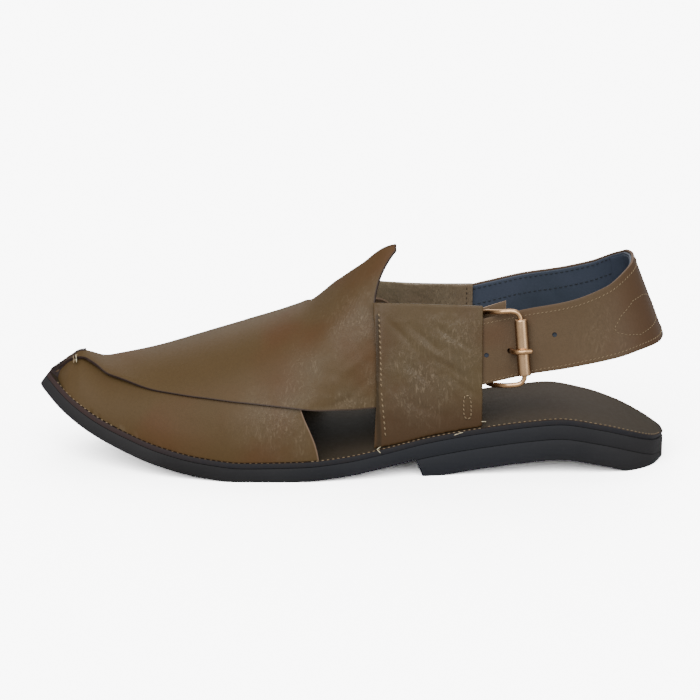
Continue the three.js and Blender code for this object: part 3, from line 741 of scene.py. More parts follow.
# The top leaf's dark band along its cut is edge dye, and also a painted shadow under its lifted free edge.
over_face = hide("oiled brown cowhide", *leaf_tones, leaf_sheen_and_creases, edge=seen(58, 44, 37), shine=0.2, toe_dye=True)
under_face = hide("oiled brown cowhide below", *leaf_tones, leaf_sheen_and_creases, edge=seen(128, 108, 88), shine=0.2)

panel_tones = seen(89, 71, 41), seen(83, 63, 35), seen(81, 56, 32)
panel_sheen_and_creases = [((44, -42, 58), 34), ((28, -42, 44), 30), ((40, -42, 44), 26)]
# Painted shade turns the panel darker and redder at its foot, and seam paints shade into its front groove.
panel_face = hide("creased panel hide", *panel_tones, panel_sheen_and_creases, lay=(0, 0.95, 0), rough=0.42, creases_and_sheen=1.8,
                  shade=("Z", 0.042, 0.024), shine=0.36, seam=True)

# The inner panel's inside: the same hide painted lighter, as painted light.
inner_tones_painted_lighter = seen(140, 126, 104), seen(124, 109, 88), seen(118, 100, 78)
inner_sheen_and_creases = [((36, 24, 76), 44), ((30, 30, 50), 40)]
inner_face_painted_lighter = hide("inner panel hide", *inner_tones_painted_lighter, inner_sheen_and_creases, lay=(0, 0.3, 0), rough=0.36, creases_and_sheen=2.2,
                  shine=0.6)

strap_tones = seen(96, 77, 53), seen(88, 68, 44), seen(90, 63, 40)
strap_sheen_and_creases = [((112, -33, 62), 26), ((76, -34, 56), 16)]
# Painted shade darkens the strap where it turns round the heel.
strap_face = hide("strap hide", *strap_tones, strap_sheen_and_creases, creases_and_sheen=0.5, shade=("X", 0.104, 0.135), shine=0.25)
print("hides made:", [m.name for m in bpy.data.materials])

# %% [markdown]
# ## Raw leather, cut edges and the lining
# The flesh side is left raw and has a nap, the cut edges are dyed dark or left pale, and the strap is lined
# with smooth navy leather. They need only two tones and a little relief each.

# %% Raw leather and lining
def raw_leather(name, colour, other):
    paint = Paint(name, IOR=1.4)
    nap = paint.noise(0.9, 4, 0.7)
    patch = paint.noise(0.05, 3, 0.6)
    paint.feed("Base Color", paint.blend(nap.band(0.3, 0.7) * 0.6 + patch * 0.3, colour, other))
    paint.feed("Roughness", nap * 0.2 + 0.7)
    paint.relief(nap, 0.6, 0.25)
    return paint.material


flesh_side = raw_leather("raw flesh side", seen(92, 72, 50), seen(66, 50, 35))
dyed_edge = raw_leather("dark dyed edge", seen(66, 48, 42), seen(46, 33, 30))
cut_edge = raw_leather("light cut edge", seen(122, 102, 84), seen(92, 72, 56))
navy = Paint("navy lining leather", IOR=1.45)
navy_fine = navy.noise(0.5, 3, 0.55)
navy_cloud = navy.noise(0.03, 3, 0.5)
navy.feed("Base Color", navy.blend(navy_cloud.band(0.35, 0.65), seen(48, 58, 72), seen(64, 74, 90)))
navy.feed("Roughness", navy_fine * 0.15 + navy_cloud * 0.1 + 0.34)
navy.relief(navy.cells(1.2) * 0.3 + navy_fine * 0.4, 0.4, 0.12)
print("leathers made:", len(bpy.data.materials))

# %% [markdown]
# ## Soft folds
# Leather that bends with the foot keeps long shallow folds. They could be sculpted, but a list of strokes is
# easier to change: each has two ends as seen from the side, a half width and a depth, and the leather sinks
# along it like a soft trench that runs out at both ends. A negative depth stands up as a ridge.

# %% Folds of the leaves
leaf_folds = [
    ((-46, 34), (-14, 42), 3.0, 0.25),
    ((-28, 50), (4, 46), 2.4, 0.3),
    ((-18, 32), (6, 38), 2.0, 0.35),
    ((-8, 44), (10, 58), 2.4, -0.35),
    ((-6, 34), (10, 46), 1.8, 0.35),
    ((-92, 28), (-60, 24), 3.4, 0.3),
    ((-56, 20), (-34, 26), 2.2, 0.25),
]


def folds(points, table):
    """How far the outer side sinks or rises at each point for the folds of a table."""
    from_the_side = points[..., (0, 2)]
    total = np.zeros(points.shape[:-1])
    for start, end, half_width, depth in table:
        a, b = np.array(start, float), np.array(end, float)
        share = np.clip(((from_the_side - a) @ (b - a)) / ((b - a) @ (b - a)), 0, 1)
        gap = np.linalg.norm(from_the_side - (a + share[..., None] * (b - a)), axis=-1)
        taper = np.sin(np.clip(share, 0.04, 0.96) * math.pi) ** 0.6
        total -= depth * taper * np.exp(-((gap / half_width) ** 2))
    return total * (points[..., 1] < 0)


print(len(leaf_folds), "folds, up to", max(depth for *_, depth in leaf_folds), "mm deep")

# %% [markdown]
# ## The pattern of a leaf
# Each leaf starts at one rim, crosses the toes and ends inside the panel on the other side. Its grid runs
# across from that rim and back from its front edge to its rear edge. The leaf on top also ends in the curved
# cut behind its tall peak, so each row of the grid is made to stop where the cut has taken the leather away.

# %% A leaf's places
notch_x = panel_front + notch_setback
notch_level = float(deck_height(np.array(panel_place))) + panel_height - notch_cover
# The rows lie closer together towards the front edge, and the free edge stands off beside the toe.
crowding, toe_lift, toe_lift_fade = 1.35, 1.6, 9


def toe_gap(x):
    return ease(-132, -122, x) * (1 - ease(-106, -86, x))


def leaf_place(under, distance):
    """The places of a leaf's grid: u runs across from its rim, and v back from its front edge."""
    rear_column = 5 if under else 4

    def spot(u, v):
        front = curve(leaf_rows[:, 0], leaf_rows[:, 1], u)
        front_girth = curve(leaf_rows[:, 0], leaf_rows[:, 2], u)
        rear = curve(leaf_rows[:, 0], leaf_rows[:, 3], u)
        rear_girth = curve(leaf_rows[:, 0], leaf_rows[:, rear_column], u)
        girth = mix(front_girth, rear_girth, v)
        return np.maximum(mix(front, rear, v), nose_start), girth

    def turn_of(girth):
        return 1 - girth if under else girth

    def beyond(u, v):
        """Where the curved cut has taken the leather away, behind the outer peak."""
        along, girth = spot(u, v)
        point, _ = on_last(along, turn_of(girth), distance)
        high = np.clip((point[..., 2] - notch_level) / notch_height, 0, 1)
        edge = notch_x - notch_length * np.sqrt(1 - high**2)
        return (point[..., 2] > notch_level) & (point[..., 0] > edge) & (not under)

    def place(u, v):
        v = v**crowding
        _, start = halved(np.zeros_like(v), np.full_like(v, 0.25), lambda at: spot(at, v)[1] > 1.0, 30)
        last_left, _ = halved(np.full_like(v, 0.6), np.ones_like(v), lambda at: ~beyond(at, v), 24)
        end = np.where(beyond(np.ones_like(v), v), last_left, 1.0)
        along, girth = spot(mix(start, end, u), v)
        point, out = on_last(along, turn_of(girth), distance)
        # The knife leans a little, so the edge lies on a line from inside the last to a point over the leather.
        above, _ = on_last(along, turn_of(girth), distance + leather)
        centre = np.stack([x_of(along), np.zeros_like(along), deck_height(along) + clearance], -1)
        knife = above - centre
        knife /= np.linalg.norm(knife, axis=-1, keepdims=True)
        lean = np.clip(np.sum(knife * out, axis=-1, keepdims=True), 0.5, 1)
        leaning = ease(nose_start + 0.02, nose_start + 0.08, along)[..., None]
        point = mix(point, above - knife * leather / lean, leaning)
        lifted = 0
        if not under:
            free_edge = np.exp(-((v * toe_lift_fade) ** 2))
            lifted = toe_lift * free_edge * toe_gap(point[..., 0]) * (point[..., 1] < 0)
        return point + out * (folds(point, leaf_folds) + lifted)[..., None]

    return place


# %% [markdown]
# ## The crossed leaves
# Both leaves are wrapped grids, one leather above the other. The grid of the lower leaf runs the other way
# round, so that its face points out too. Each corner keeps its distance to the cut edge, which the hide
# reads to darken or to bare the edge.

# %% The leaves
def edge_distance(place, under):
    """How far a place on a leaf is from its front, rear or far edge, in millimetres."""
    def measure(u, v):
        here = place(u, v)
        edges = [(u, np.ones_like(v))]
        if not under:
            edges += [(u, np.zeros_like(v)), (np.ones_like(u), v)]
        return np.min([np.linalg.norm(place(*edge) - here, axis=-1) for edge in edges], axis=0)

    return measure


leaf_columns, leaf_lines, leaf_bevel = 150, 130, 0.3
place_under, place_over = leaf_place(True, leather), leaf_place(False, 2 * leather - leaf_fuse)
distance_under = edge_distance(place_under, True)
leaf_under = wrapped_sheet("leaf_under", leaf_columns, leaf_lines, lambda u, v: place_under(1 - u, v),
                           {"edge_mm": lambda u, v: distance_under(1 - u, v)})
thicken(leaf_under, leather, leaf_bevel, under_face, flesh_side, cut_edge)
leaf_over = wrapped_sheet("leaf_over", leaf_columns, leaf_lines, place_over,
                          {"edge_mm": edge_distance(place_over, False)})
thicken(leaf_over, leather - leaf_fuse, leaf_bevel, over_face, flesh_side, dyed_edge)
for leaf in (leaf_under, leaf_over):
    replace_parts(leaf, "upper")
    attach(leaf, "root")
print("leaves", len(leaf_under.data.vertices), len(leaf_over.data.vertices), "corners")

# %% [markdown]
# ## The prow at the toe
# In front the two leaves are pinched together, and their dyed edges stand up as a narrow prow from the tip
# of the sole to a knot of thread. It starts as a cube, subdivided in edit mode, whose long top is drawn down
# to the tip.

# %% Prow
prow_start, prow_end = toe_x + 0.2, toe_x + 17
prow_low_top, prow_high_top = 40.1, 51.9
# Behind this share of its length the top drops again, towards the knot.
prow_dip_start, prow_dip = 0.78, 9


def prow_place(points):
    """Sends a cube's corners, from -1 to 1, to the prow: length, thickness and height."""
    share = (points[:, 0] + 1) / 2
    x = mix(prow_start, prow_end, share)
    side = curve(last_rows[:, 0], last_rows[:, 2] * ball_width / 2, along_of(x))
    top = mix(prow_low_top, prow_high_top, share) - prow_dip * np.maximum(0, share - prow_dip_start)
    floor_height = deck_height(along_of(x)) - 0.3
    foot_out = 1 + 1.6 * np.clip(-points[:, 2], 0, 1) * (1 - share) - 0.25 * (points[:, 2] > 0)
    y = side - 0.4 * share + points[:, 1] * mix(1.2, 2.6, share) * foot_out
    return np.stack([x, y, mix(floor_height, top, (points[:, 2] + 1) / 2)], -1)


clear_selection()
bpy.ops.mesh.primitive_cube_add(size=2)
prow = bpy.context.object
prow.name = "toe_prow"
bpy.ops.object.mode_set(mode="EDIT")
bpy.ops.mesh.subdivide(number_cuts=11)
bpy.ops.object.mode_set(mode="OBJECT")
set_corners(prow, to_frame(prow_place(corner_table(prow))))
prow.data.materials.append(raw_leather("dark prow edge", seen(46, 33, 31), seen(32, 24, 23)))
soft_edge(prow, 0.4, 30)
apply_modifiers(prow)
smooth(prow, 50)
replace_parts(prow, "upper")
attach(prow, "root")
print("prow", len(prow.data.polygons), "faces")

# %% [markdown]
# ## Working from a solid
# The panels and the buckle have the right shape in the part already, but hard edges and long thin faces. A
# copy of such a solid is merged first, because the solid's corners are loose. For soft leather the copy is
# then remeshed into small even faces and smoothed, and stretched back to the size that it had.

# %% Copies of solids
def solid_copy(node, name):
    """A merged copy of a node's mesh, so that its corners are shared."""
    piece = bpy.data.objects.new(name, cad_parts[node].data.copy())
    piece.data.materials.clear()
    bpy.context.collection.objects.link(piece)
    pick(piece)
    bpy.ops.object.mode_set(mode="EDIT")
    bpy.ops.mesh.select_all(action="SELECT")
    bpy.ops.mesh.remove_doubles(threshold=0.00001)
    bpy.ops.object.mode_set(mode="OBJECT")
    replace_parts(piece, node)
    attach(piece, "root")
    return piece


def softened_copy(node, name, voxel, rounds):
    piece = solid_copy(node, name)
    modify(piece, "even faces", "REMESH", mode="VOXEL", voxel_size=voxel * MM)
    modify(piece, "softened", "SMOOTH", factor=0.5, iterations=rounds)
    hard_low, hard_high = (np.array(corner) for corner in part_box(node))
    apply_modifiers(piece)
    points = corner_table(piece)
    low, high = points.min(axis=0), points.max(axis=0)
    set_corners(piece, hard_low + (points - low) / (high - low) * (hard_high - hard_low))
    return piece


# %% [markdown]
# ## The panels' slack
# A worn panel isn't flat. A groove runs down beside the front seam, slack creases run down and back from the
# upper front corner, the front bulges, and the inner panel's top leans away. Each is a small move of the
# corners, made before the piece gets its finish.

# %% Creases and slopes of the panels
# The first two rows are the groove of the front seam, and the third is the hollow behind it.
panel_folds = [
    ((12.5, 77), (12.2, 42), 1.0, 0.6),
    ((12.2, 43), (13.9, 16), 1.0, 0.6),
    ((20, 72), (19, 36), 3.2, 0.6),
    ((15, 73), (30, 57), 1.5, 0.4),
    ((26, 69), (44, 53), 1.7, 0.45),
    ((36, 69), (55, 57), 1.5, 0.4),
    ((24, 53), (38, 40), 1.6, 0.4),
    ((36, 55), (53, 44), 1.6, 0.4),
    ((44, 45), (57, 36), 1.6, 0.35),
    ((22, 36), (42, 27), 2.2, 0.35),
    ((28, 62), (48, 50), 2.6, -0.4),
]
# The front gets fuller by 1.2, and by 1.1 more between a height of 50 and its foot, over a length of 14.
fuller, fuller_low, fuller_high, fuller_drop, fuller_reach = 1.2, 1.1, 50, 35, 14
seam_heights, seam_places, seam_end = [19, 41, 73], [13.9, 12.3, 12.5], 76


def push(piece, table):
    """Moves each corner along its normal by the folds of a table."""
    points = corner_table(piece) / MM
    depth = folds(points, table)
    set_corners(piece, (points + corner_table(piece, "normal") * depth[:, None]) * MM)


def fill_front(piece, front):
    """Makes the fold in front a little fuller, and most of all low down."""
    points = corner_table(piece) / MM
    low_share = np.clip((fuller_high - points[:, 2]) / fuller_drop, 0, 1)
    bulge = (fuller + fuller_low * low_share) * (1 - ease(0, fuller_reach, points[:, 0] - front))
    set_corners(piece, (points - bulge[:, None] * np.array([1, 0, 0])) * MM)


def seam_distance(piece):
    """How far each corner is from the front seam; the far side and the top end don't count."""
    points = corner_table(piece) / MM
    seam_x = np.interp(points[:, 2], seam_heights, seam_places)
    past_top = ease(seam_heights[-1], seam_end, points[:, 2])
    return np.abs(points[:, 0] - seam_x) + 3 * (points[:, 1] > 0) + 2 * past_top


def thin_top(panel, slope=0.42, near_edge=2.2, reach=5, low=68, high=77):
    """Slopes the top down to the far side, so that only its near edge is seen."""
    points = corner_table(panel) / MM
    top = points[points[:, 2] > points[:, 2].max() - 1.5]
    middle_line = np.polyfit(top[:, 0], top[:, 1], 2)
    behind = np.clip(points[:, 1] - np.polyval(middle_line, points[:, 0]) + near_edge, 0, reach)
    lower = slope * behind * ease(low, high, points[:, 2])
    set_corners(panel, (points - lower[:, None] * np.array([0, 0, 1])) * MM)


# %% [markdown]
# ## The side panels
# A panel is one piece of thick soft leather, folded at the front and open at the back for the strap. Both
# are softened copies of their solids. The camera sees the outer face of one and, across the shoe, the inside of
# the other, which is painted lighter as painted light, so the inner panel has two finishes, chosen by which way
# a face looks.

# %% Panels
for node, name in (("quarter_outer", "panel_outer"), ("quarter_inner", "panel_inner")):
    panel = softened_copy(node, name, voxel=0.5, rounds=6)
    push(panel, panel_folds)
    seam_gap = seam_distance(panel)
    fill_front(panel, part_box(node)[0].x / MM)
    panel.data.materials.append(panel_face)
    # The distance to the seam, for the painted shade in its groove.
    keep_value(panel, "seam_mm", seam_gap)
    if node == "quarter_inner":
        thin_top(panel)
        # Faces that look inwards or up get the hide that is painted lighter.
        panel.data.materials.append(inner_face_painted_lighter)
        for face in panel.data.polygons:
            face.material_index = int(face.normal.y < 0.2)
    smooth(panel, 60)
    print(name, len(panel.data.polygons), "faces")

# %% [markdown]
# ## The heel strap
# The strap is two leathers sewn together: brown hide outside and navy lining inside. Each is a long grid
# wrapped on the strap's course, a little narrower for the lining, and the small gap between them is where
# the glue would be.

# %% Strap
outside_thickness, lining_thickness, lining_place = 1.3, 1.08, -0.12


def strap_sheet(name, distance, margin):
    def place(u, v):
        return on_strap(mix(-1.9, 1.9, u), mix(margin, 1 - margin, v), np.full_like(u, distance))

    return wrapped_sheet(name, 300, 26, place)


strap_outside = strap_sheet("strap_outside", strap_thickness / 2, 0.0)
thicken(strap_outside, outside_thickness, 0.25, strap_face, flesh_side, cut_edge)
strap_lining = strap_sheet("strap_lining", lining_place, 0.02)
thicken(strap_lining, lining_thickness, 0.2, navy.material, navy.material, navy.material)
print("strap", len(strap_outside.data.polygons), "faces")

# %% [markdown]
# ## Holes for the tongue
# A strap has spare holes and a slot that the tongue passes through. A hole is cut as a punch does: a small
# cylinder, turned square to the leather, is taken away from it by a Boolean modifier. Only the outside
# leather is cut, because the navy lining shows dark behind the real holes.

# %% Holes
hole_radius, slot_radius, slot_length, slot_behind = 1.1, 1.25, 3.4, 4.0
# Each spare hole's distance behind the panel's mouth, and its drop below the strap's middle.
spare_places = ((1.7, 1.8), (32, -1.2))


def punch(piece, origin, out, radius, long=0.0, back=None):
    """Cuts a round hole, or a slot of a length, straight through a sheet."""
    clear_selection()
    bpy.ops.mesh.primitive_cylinder_add(vertices=24, radius=radius * MM, depth=12 * MM)
    tool = bpy.context.object
    back = back or Vector((1, 0, 0))
    side = out.cross(back).normalized()
    back = side.cross(out).normalized()
    for vertex in tool.data.vertices:
        shift = math.copysign(max(0.0, long / 2 - radius), vertex.co.x) * MM if long else 0
        local = (back * (vertex.co.x + shift) + side * vertex.co.y + out * vertex.co.z)
        vertex.co = local + (origin + Vector(SHIFT)) * MM
    modify(piece, "hole", "BOOLEAN", operation="DIFFERENCE", solver="EXACT", object=tool)
    apply_modifiers(piece)
    bpy.data.objects.remove(tool, do_unlink=True)


origin, back, up, out = buckle_axes
for behind, drop in spare_places:
    spare, _, _, outward = outer_axes(panel_mouth + behind, drop, 0)
    punch(strap_outside, spare, outward, hole_radius)
slot_centre = origin + back * slot_behind - up * tongue_drop
punch(strap_outside, slot_centre, out, slot_radius, slot_length, back)
for layer in (strap_outside, strap_lining):
    smooth(layer)
    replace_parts(layer, "heel_strap")
    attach(layer, "root")
print("strap with its holes", len(strap_outside.data.polygons), "faces")

# %% [markdown]
# ## The insole's leather
# The foot rests on a brown leather insole, darker at its dyed rim and lighter and glossier round the heel
# seat. The finish mixes these over a cloudy brown, and the rim's dye has a material of its own for the cut edge.

# %% Insole finish
foot = Paint("polished insole leather", IOR=1.45, Specular_IOR_Level=0.06)
foot_rim = foot.attribute("rim_mm")
foot_cloud = foot.noise(0.015, 3, 0.5)
foot_fine = foot.noise(0.4, 4, 0.6)
foot_seat = foot.near((100, 0, 35), 60)
foot_tone = foot.blend(foot_cloud.band(0.35, 0.65), seen(48, 42, 32), seen(57, 49, 37))
foot_tone = foot.blend(foot_seat * 0.7, foot_tone, seen(82, 69, 55))
foot_tone = foot.blend(foot_rim.band(0.4, 2.4, 0.85, 0), foot_tone, seen(40, 29, 27))
foot.feed("Base Color", foot_tone)
foot.feed("Roughness", foot_fine * 0.15 + 0.52 - foot_seat * 0.06)
foot.relief(foot.cells(1.3) * 0.25 + foot_fine * 0.5, 0.4, 0.15)

rim_dye = Paint("rim dye", Roughness=0.5, Specular_IOR_Level=0.2)
rim_tone = rim_dye.blend(rim_dye.axis("X").band(-0.125, -0.05), seen(58, 42, 40), seen(36, 36, 40))
rim_patch = rim_dye.noise(0.5, 3, 0.6).band(0.4, 0.7) * 0.4
rim_dye.feed("Base Color", rim_dye.blend(rim_patch, rim_tone, seen(48, 42, 40)))
print("insole finishes made")

# %% [markdown]
# ## The insole
# Its grid follows the deck from toe to heel. The columns lie closer together towards both ends, where the
# outline turns fast, and each corner keeps its distance to the rim for the dye.

# %% Insole
def deck_point(along, across):
    width_place = mix(-sole_rim(along, -1), sole_rim(along, 1), across)
    return np.stack([x_of(along), width_place, deck_height(along)], -1)


def insole_along(u):
    return (1 - np.cos(np.pi * np.clip(u, 0.0, 1))) / 2


def rim_distance(u, v):
    along = insole_along(u)
    width = sole_rim(along, -1) + sole_rim(along, 1)
    ends = np.minimum(along, 1 - along) * sole_length
    return np.minimum(np.minimum(v, 1 - v) * width, ends)


insole = wrapped_sheet("insole_leather", 220, 36, lambda u, v: deck_point(insole_along(u), v),
                       {"rim_mm": rim_distance})
thicken(insole, insole_thickness, 0.45, foot.material, flesh_side, rim_dye.material)
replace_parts(insole, "insole")
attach(insole, "root")
print("insole", len(insole.data.polygons), "faces")

# %% [markdown]
# ## Black rubber
# The outsole and the heel lift are cut from black tyre rubber. It is never quite black: dust and bloom make
# it cloudy, a painted reflection of the sky tints its outer side blue, and the knife leaves faint streaks along
# the wall.

# %% Rubber finish
rubber = Paint("black sole rubber", IOR=1.5, Specular_IOR_Level=0.25)
rubber_cloud = rubber.noise(0.02, 3, 0.55)
rubber_fine = rubber.noise(0.8, 4, 0.6)
rubber_streak = rubber.noise(0.25, 3, 0.6, at=rubber.stretched((0.12, 0.12, 2.2)))
# A painted reflection of the sky: the outer side turns bluish.
rubber_sky_reflection = rubber.near((40, -45, 10), 120)
rubber_tone = rubber.blend(rubber_cloud.band(0.35, 0.65), seen(28, 27, 28), seen(37, 36, 37))
rubber_tone = rubber.blend(rubber_sky_reflection * 0.7, rubber_tone, seen(33, 36, 43))
rubber_dust = rubber_fine.band(0.5, 0.8) * 0.25
rubber.feed("Base Color", rubber.blend(rubber_dust, rubber_tone, seen(50, 50, 52)))
rubber.feed("Roughness", rubber_fine * 0.2 + rubber_streak * 0.15 + 0.42)
rubber.relief(rubber_streak * 0.8 + rubber_fine * 0.5, 0.5, 0.2)
print("rubber made")

# %% [markdown]
# ## Places in the sole
# A layer of the sole lies at a depth under the deck, square to it, and the rubber is a little thinner where
# the toe curls up. The lift's front was cut at a slant, so it starts further forward at its top.

# %% The sole's layers as functions
toe_thinning, lift_length, breast_lean = 0.27, 114.1, math.radians(14)
breast_height = 12.5


def sole_point(along, across, depth):
    """A place at a depth under the deck, square to the deck and a little thinner where the toe curls up."""
    step = 0.002
    before, after = np.maximum(0, along - step), np.minimum(1, along + step)
    spring = [curve(sole_rows[:, 0], sole_rows[:, 4] * toe_spring, at) for at in (before, after, along)]
    tilt = np.arctan((spring[1] - spring[0]) / ((after - before) * sole_length))
    measured = depth - np.maximum(0, depth - insole_thickness) * toe_thinning * spring[2] / toe_spring
    width_place = mix(-sole_rim(along, -1), sole_rim(along, 1), across)
    return np.stack([x_of(along) + measured * np.sin(tilt), width_place,
                     np.maximum(0, deck_height(along) - measured * np.cos(tilt))], -1)


def outsole_place(u, v, w):
    return sole_point(insole_along(u), v, mix(insole_thickness + clearance, total_sole, w))


def lift_place(u, v, w):
    """The lift's front face leans back towards the floor."""
    depth = mix(total_sole + clearance, total_sole + lift_thickness, w)
    front = along_of(heel_x - lift_length - math.tan(breast_lean) * (breast_height * (1 - w)))
    return sole_point(front + (1 - front) * np.sin(u * math.pi / 2), v, depth)


print("the lift's front leans by", round(math.degrees(breast_lean)), "degrees")

# %% [markdown]
# ## The outsole and the heel lift
# Each is a grid extruded to a block in edit mode, which gives it a top, a bottom and a wall with shared
# corners. The corners are then moved onto the sole's own layers, and a small bevel stands for the edge that
# the knife leaves.

# %% Sole rubber
def rubber_block(name, columns, rows, place):
    """A grid extruded to a block, whose corners go to place(u, v, w) with w from top to bottom."""
    block = flat_grid(name, columns, rows)
    bpy.ops.object.mode_set(mode="EDIT")
    bpy.ops.mesh.select_all(action="SELECT")
    bpy.ops.mesh.extrude_region_move(TRANSFORM_OT_translate={"value": (0, 0, -1)})
    bpy.ops.object.mode_set(mode="OBJECT")
    flat = corner_table(block)
    set_corners(block, to_frame(place((flat[:, 0] + 1) / 2, (flat[:, 1] + 1) / 2, -flat[:, 2])))
    bpy.ops.object.mode_set(mode="EDIT")
    bpy.ops.mesh.select_all(action="SELECT")
    bpy.ops.mesh.normals_make_consistent(inside=False)
    bpy.ops.object.mode_set(mode="OBJECT")
    soft_edge(block, 0.45, 50)
    apply_modifiers(block)
    block.data.materials.append(rubber.material)
    smooth(block, 40)
    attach(block, "root")
    print(name, len(block.data.polygons), "faces")
    return block


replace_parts(rubber_block("outsole_rubber", 220, 30, outsole_place), "outsole")
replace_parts(rubber_block("heel_lift_rubber", 110, 30, lift_place), "heel_lift")

# %% [markdown]
# ## The buckle's metal
# Frame, roller and tongue are brushed rose-gold wire and tube, and the roller is paler where the strap has
# rubbed it. Fine scratches are noise stretched along the metal, and a painted shade darkens the flanks and the
# undersides, which each corner knows from the direction that it faces.

# %% Metal
def metal(name, colour, dull):
    paint = Paint(name, Metallic=1.0)
    brushed = paint.noise(0.9, 4, 0.6, at=paint.stretched((3.0, 3.0, 0.25)))
    cloud = paint.noise(0.2, 3, 0.6)
    worn = paint.blend(cloud.band(0.35, 0.7) * 0.5, colour, dull)
    # Painted shade where the metal faces sideways or down.
    painted_flank_shade = paint.attribute("turned_away").band(0.35, 0.95) * 0.8
    paint.feed("Base Color", paint.blend(painted_flank_shade, worn, darker(dull, 0.28)))
    paint.feed("Roughness", brushed * 0.14 + cloud * 0.06 + 0.18)
    paint.relief(brushed, 0.25, 0.05)
    return paint.material


bronze = metal("brushed rose bronze", (0.82, 0.5, 0.26), (0.6, 0.34, 0.16))
pale_bronze = metal("worn roller bronze", (0.9, 0.58, 0.33), (0.7, 0.42, 0.22))
print("metals made")

# %% [markdown]
# ## The buckle
# The solids of wire and tube have few sides, so a Subdivision Surface rounds their merged copies. It also
# makes them thinner, because it cuts corners, and pushing every corner out a little gives the wire its
# thickness back. The roller keeps crisp ends by a bevel before the rounding.

# %% Buckle
# Each piece's finish, its rounds of subdivision, and how far it is pushed out afterwards.
buckle_pieces = (("buckle_frame", bronze, 2, 0.14), ("buckle_roller", pale_bronze, 1, 0.03),
                 ("buckle_tongue", bronze, 2, 0.14))
for node, finish, levels, regained in buckle_pieces:
    part = solid_copy(node, node + "_metal")
    if node == "buckle_roller":
        soft_edge(part, 0.15, 40)
    modify(part, "rounded", "SUBSURF", levels=levels, render_levels=levels)
    apply_modifiers(part)
    normals = corner_table(part, "normal")
    set_corners(part, corner_table(part) + normals * regained * MM)
    # Which way each corner faces, for the painted shade on the flanks and undersides.
    keep_value(part, "turned_away", np.maximum(np.abs(normals[:, 0]), -normals[:, 2]))
    part.data.materials.append(finish)
    smooth(part, 45)
    print(part.name, len(part.data.polygons), "faces")

# %% [markdown]
# ## One stitch
# Every seam is a row of short thick threads that dip into the leather at both ends. One stitch is modelled
# once, as a ball with few faces, and each row stretches copies of it into bars.

# %% One stitch and the threads
clear_selection()
bpy.ops.mesh.primitive_uv_sphere_add(segments=8, ring_count=6, radius=1)
pattern = bpy.context.object
stitch_corners = corner_table(pattern)
stitch_faces = [tuple(face.vertices) for face in pattern.data.polygons]
bpy.data.objects.remove(pattern, do_unlink=True)


def thread_finish(name, colour, other):
    paint = Paint(name)
    twist = paint.noise(1.6, 3, 0.6)
    paint.feed("Base Color", paint.blend(twist.band(0.3, 0.7), colour, other))
    paint.feed("Roughness", twist * 0.2 + 0.6)
    paint.relief(twist, 0.5, 0.1)
    return paint.material


tan_thread = thread_finish("tan thread", seen(146, 126, 98), seen(116, 96, 70))
brown_thread = thread_finish("brown thread", seen(112, 86, 54), seen(74, 55, 35))
dark_thread = thread_finish("dark thread", seen(74, 56, 36), seen(48, 36, 25))
navy_thread = thread_finish("navy thread", seen(22, 26, 34), seen(32, 38, 48))
pale_thread = thread_finish("pale thread", seen(196, 192, 176), seen(160, 152, 132))
print("one stitch has", len(stitch_faces), "faces")

# %% [markdown]
# ## A row of stitches
# A path of places with directions out of the leather says where a row runs. The path is divided evenly, a
# stitch is laid at each place along the path or at a slant to it, and the whole row is one mesh, because
# hundreds of separate objects would be slow to handle.

# %% Rows of stitches
stitch_rise, stitch_dip = 0.45, 0.9


def along_path(table, run, at):
    return np.stack([np.interp(at, run, table[:, i]) for i in range(3)], -1)


def unit(rows):
    return rows / np.linalg.norm(rows, axis=1, keepdims=True)


def stitch_row(name, points, outs, finish, pitch=2.4, length=1.7, radius=0.28, slot="upper_leather", slant=0.0):
    """Stitches along a path of places, each with its direction out of the leather, in millimetres."""
    points, outs = np.asarray(points, float), np.asarray(outs, float)
    steps = np.linalg.norm(np.diff(points, axis=0), axis=1)
    run = np.concatenate([[0], np.cumsum(steps)])
    count = max(1, int(run[-1] / pitch))
    at = (np.arange(count) + 0.5) * run[-1] / count
    centre, out = along_path(points, run, at), unit(along_path(outs, run, at))
    forward = along_path(points, run, at + 0.3) - along_path(points, run, at - 0.3)
    forward -= out * np.sum(forward * out, axis=1, keepdims=True)
    forward /= np.linalg.norm(forward, axis=1, keepdims=True) + 1e-9
    side = np.cross(out, forward)
    turned = forward * math.cos(slant) + side * math.sin(slant)
    side = np.cross(out, turned)
    shape = stitch_corners * np.array([length / 2, radius, radius])
    shape[:, 2] += radius * stitch_rise - (shape[:, 0] / (length / 2)) ** 2 * radius * stitch_dip
    placed = (centre[:, None] + shape[None, :, :1] * turned[:, None] + shape[None, :, 1:2] * side[:, None]
              + shape[None, :, 2:] * out[:, None])
    size = len(stitch_corners)
    faces = [tuple(i + k * size for i in face) for k in range(count) for face in stitch_faces]
    mesh = bpy.data.meshes.new(name)
    mesh.from_pydata([tuple(p) for p in to_frame(placed.reshape(-1, 3))], [], faces)
    mesh.polygons.foreach_set("use_smooth", [True] * len(mesh.polygons))
    mesh.update()
    mesh.materials.append(finish)
    row = bpy.data.objects.new(name, mesh)
    bpy.context.collection.objects.link(row)
    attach(row, "root")
    return count


# %% [markdown]
# ## Seams of the strap
# Two tan rows run along the strap's edges, three navy rows show on the lining, and a heart-shaped row sews
# the patch at the heel on each side. The strap's own function gives every place, on its outer side or on its
# lining, so the rows follow each bend of the leather.

# %% Seams of the strap
reaches = np.linspace(-1.02, 1.02, 260)
strap_widths = strap_at(reaches)[3]
strap_face_out, lining_out = strap_thickness / 2, -strap_thickness / 2 - 0.05


def strap_line(reaches, ups, distance):
    """Places and directions away from the strap's middle along a line on it."""
    points = on_strap(reaches, ups, np.full_like(reaches, distance))
    return points, points - on_strap(reaches, ups, np.zeros_like(reaches))


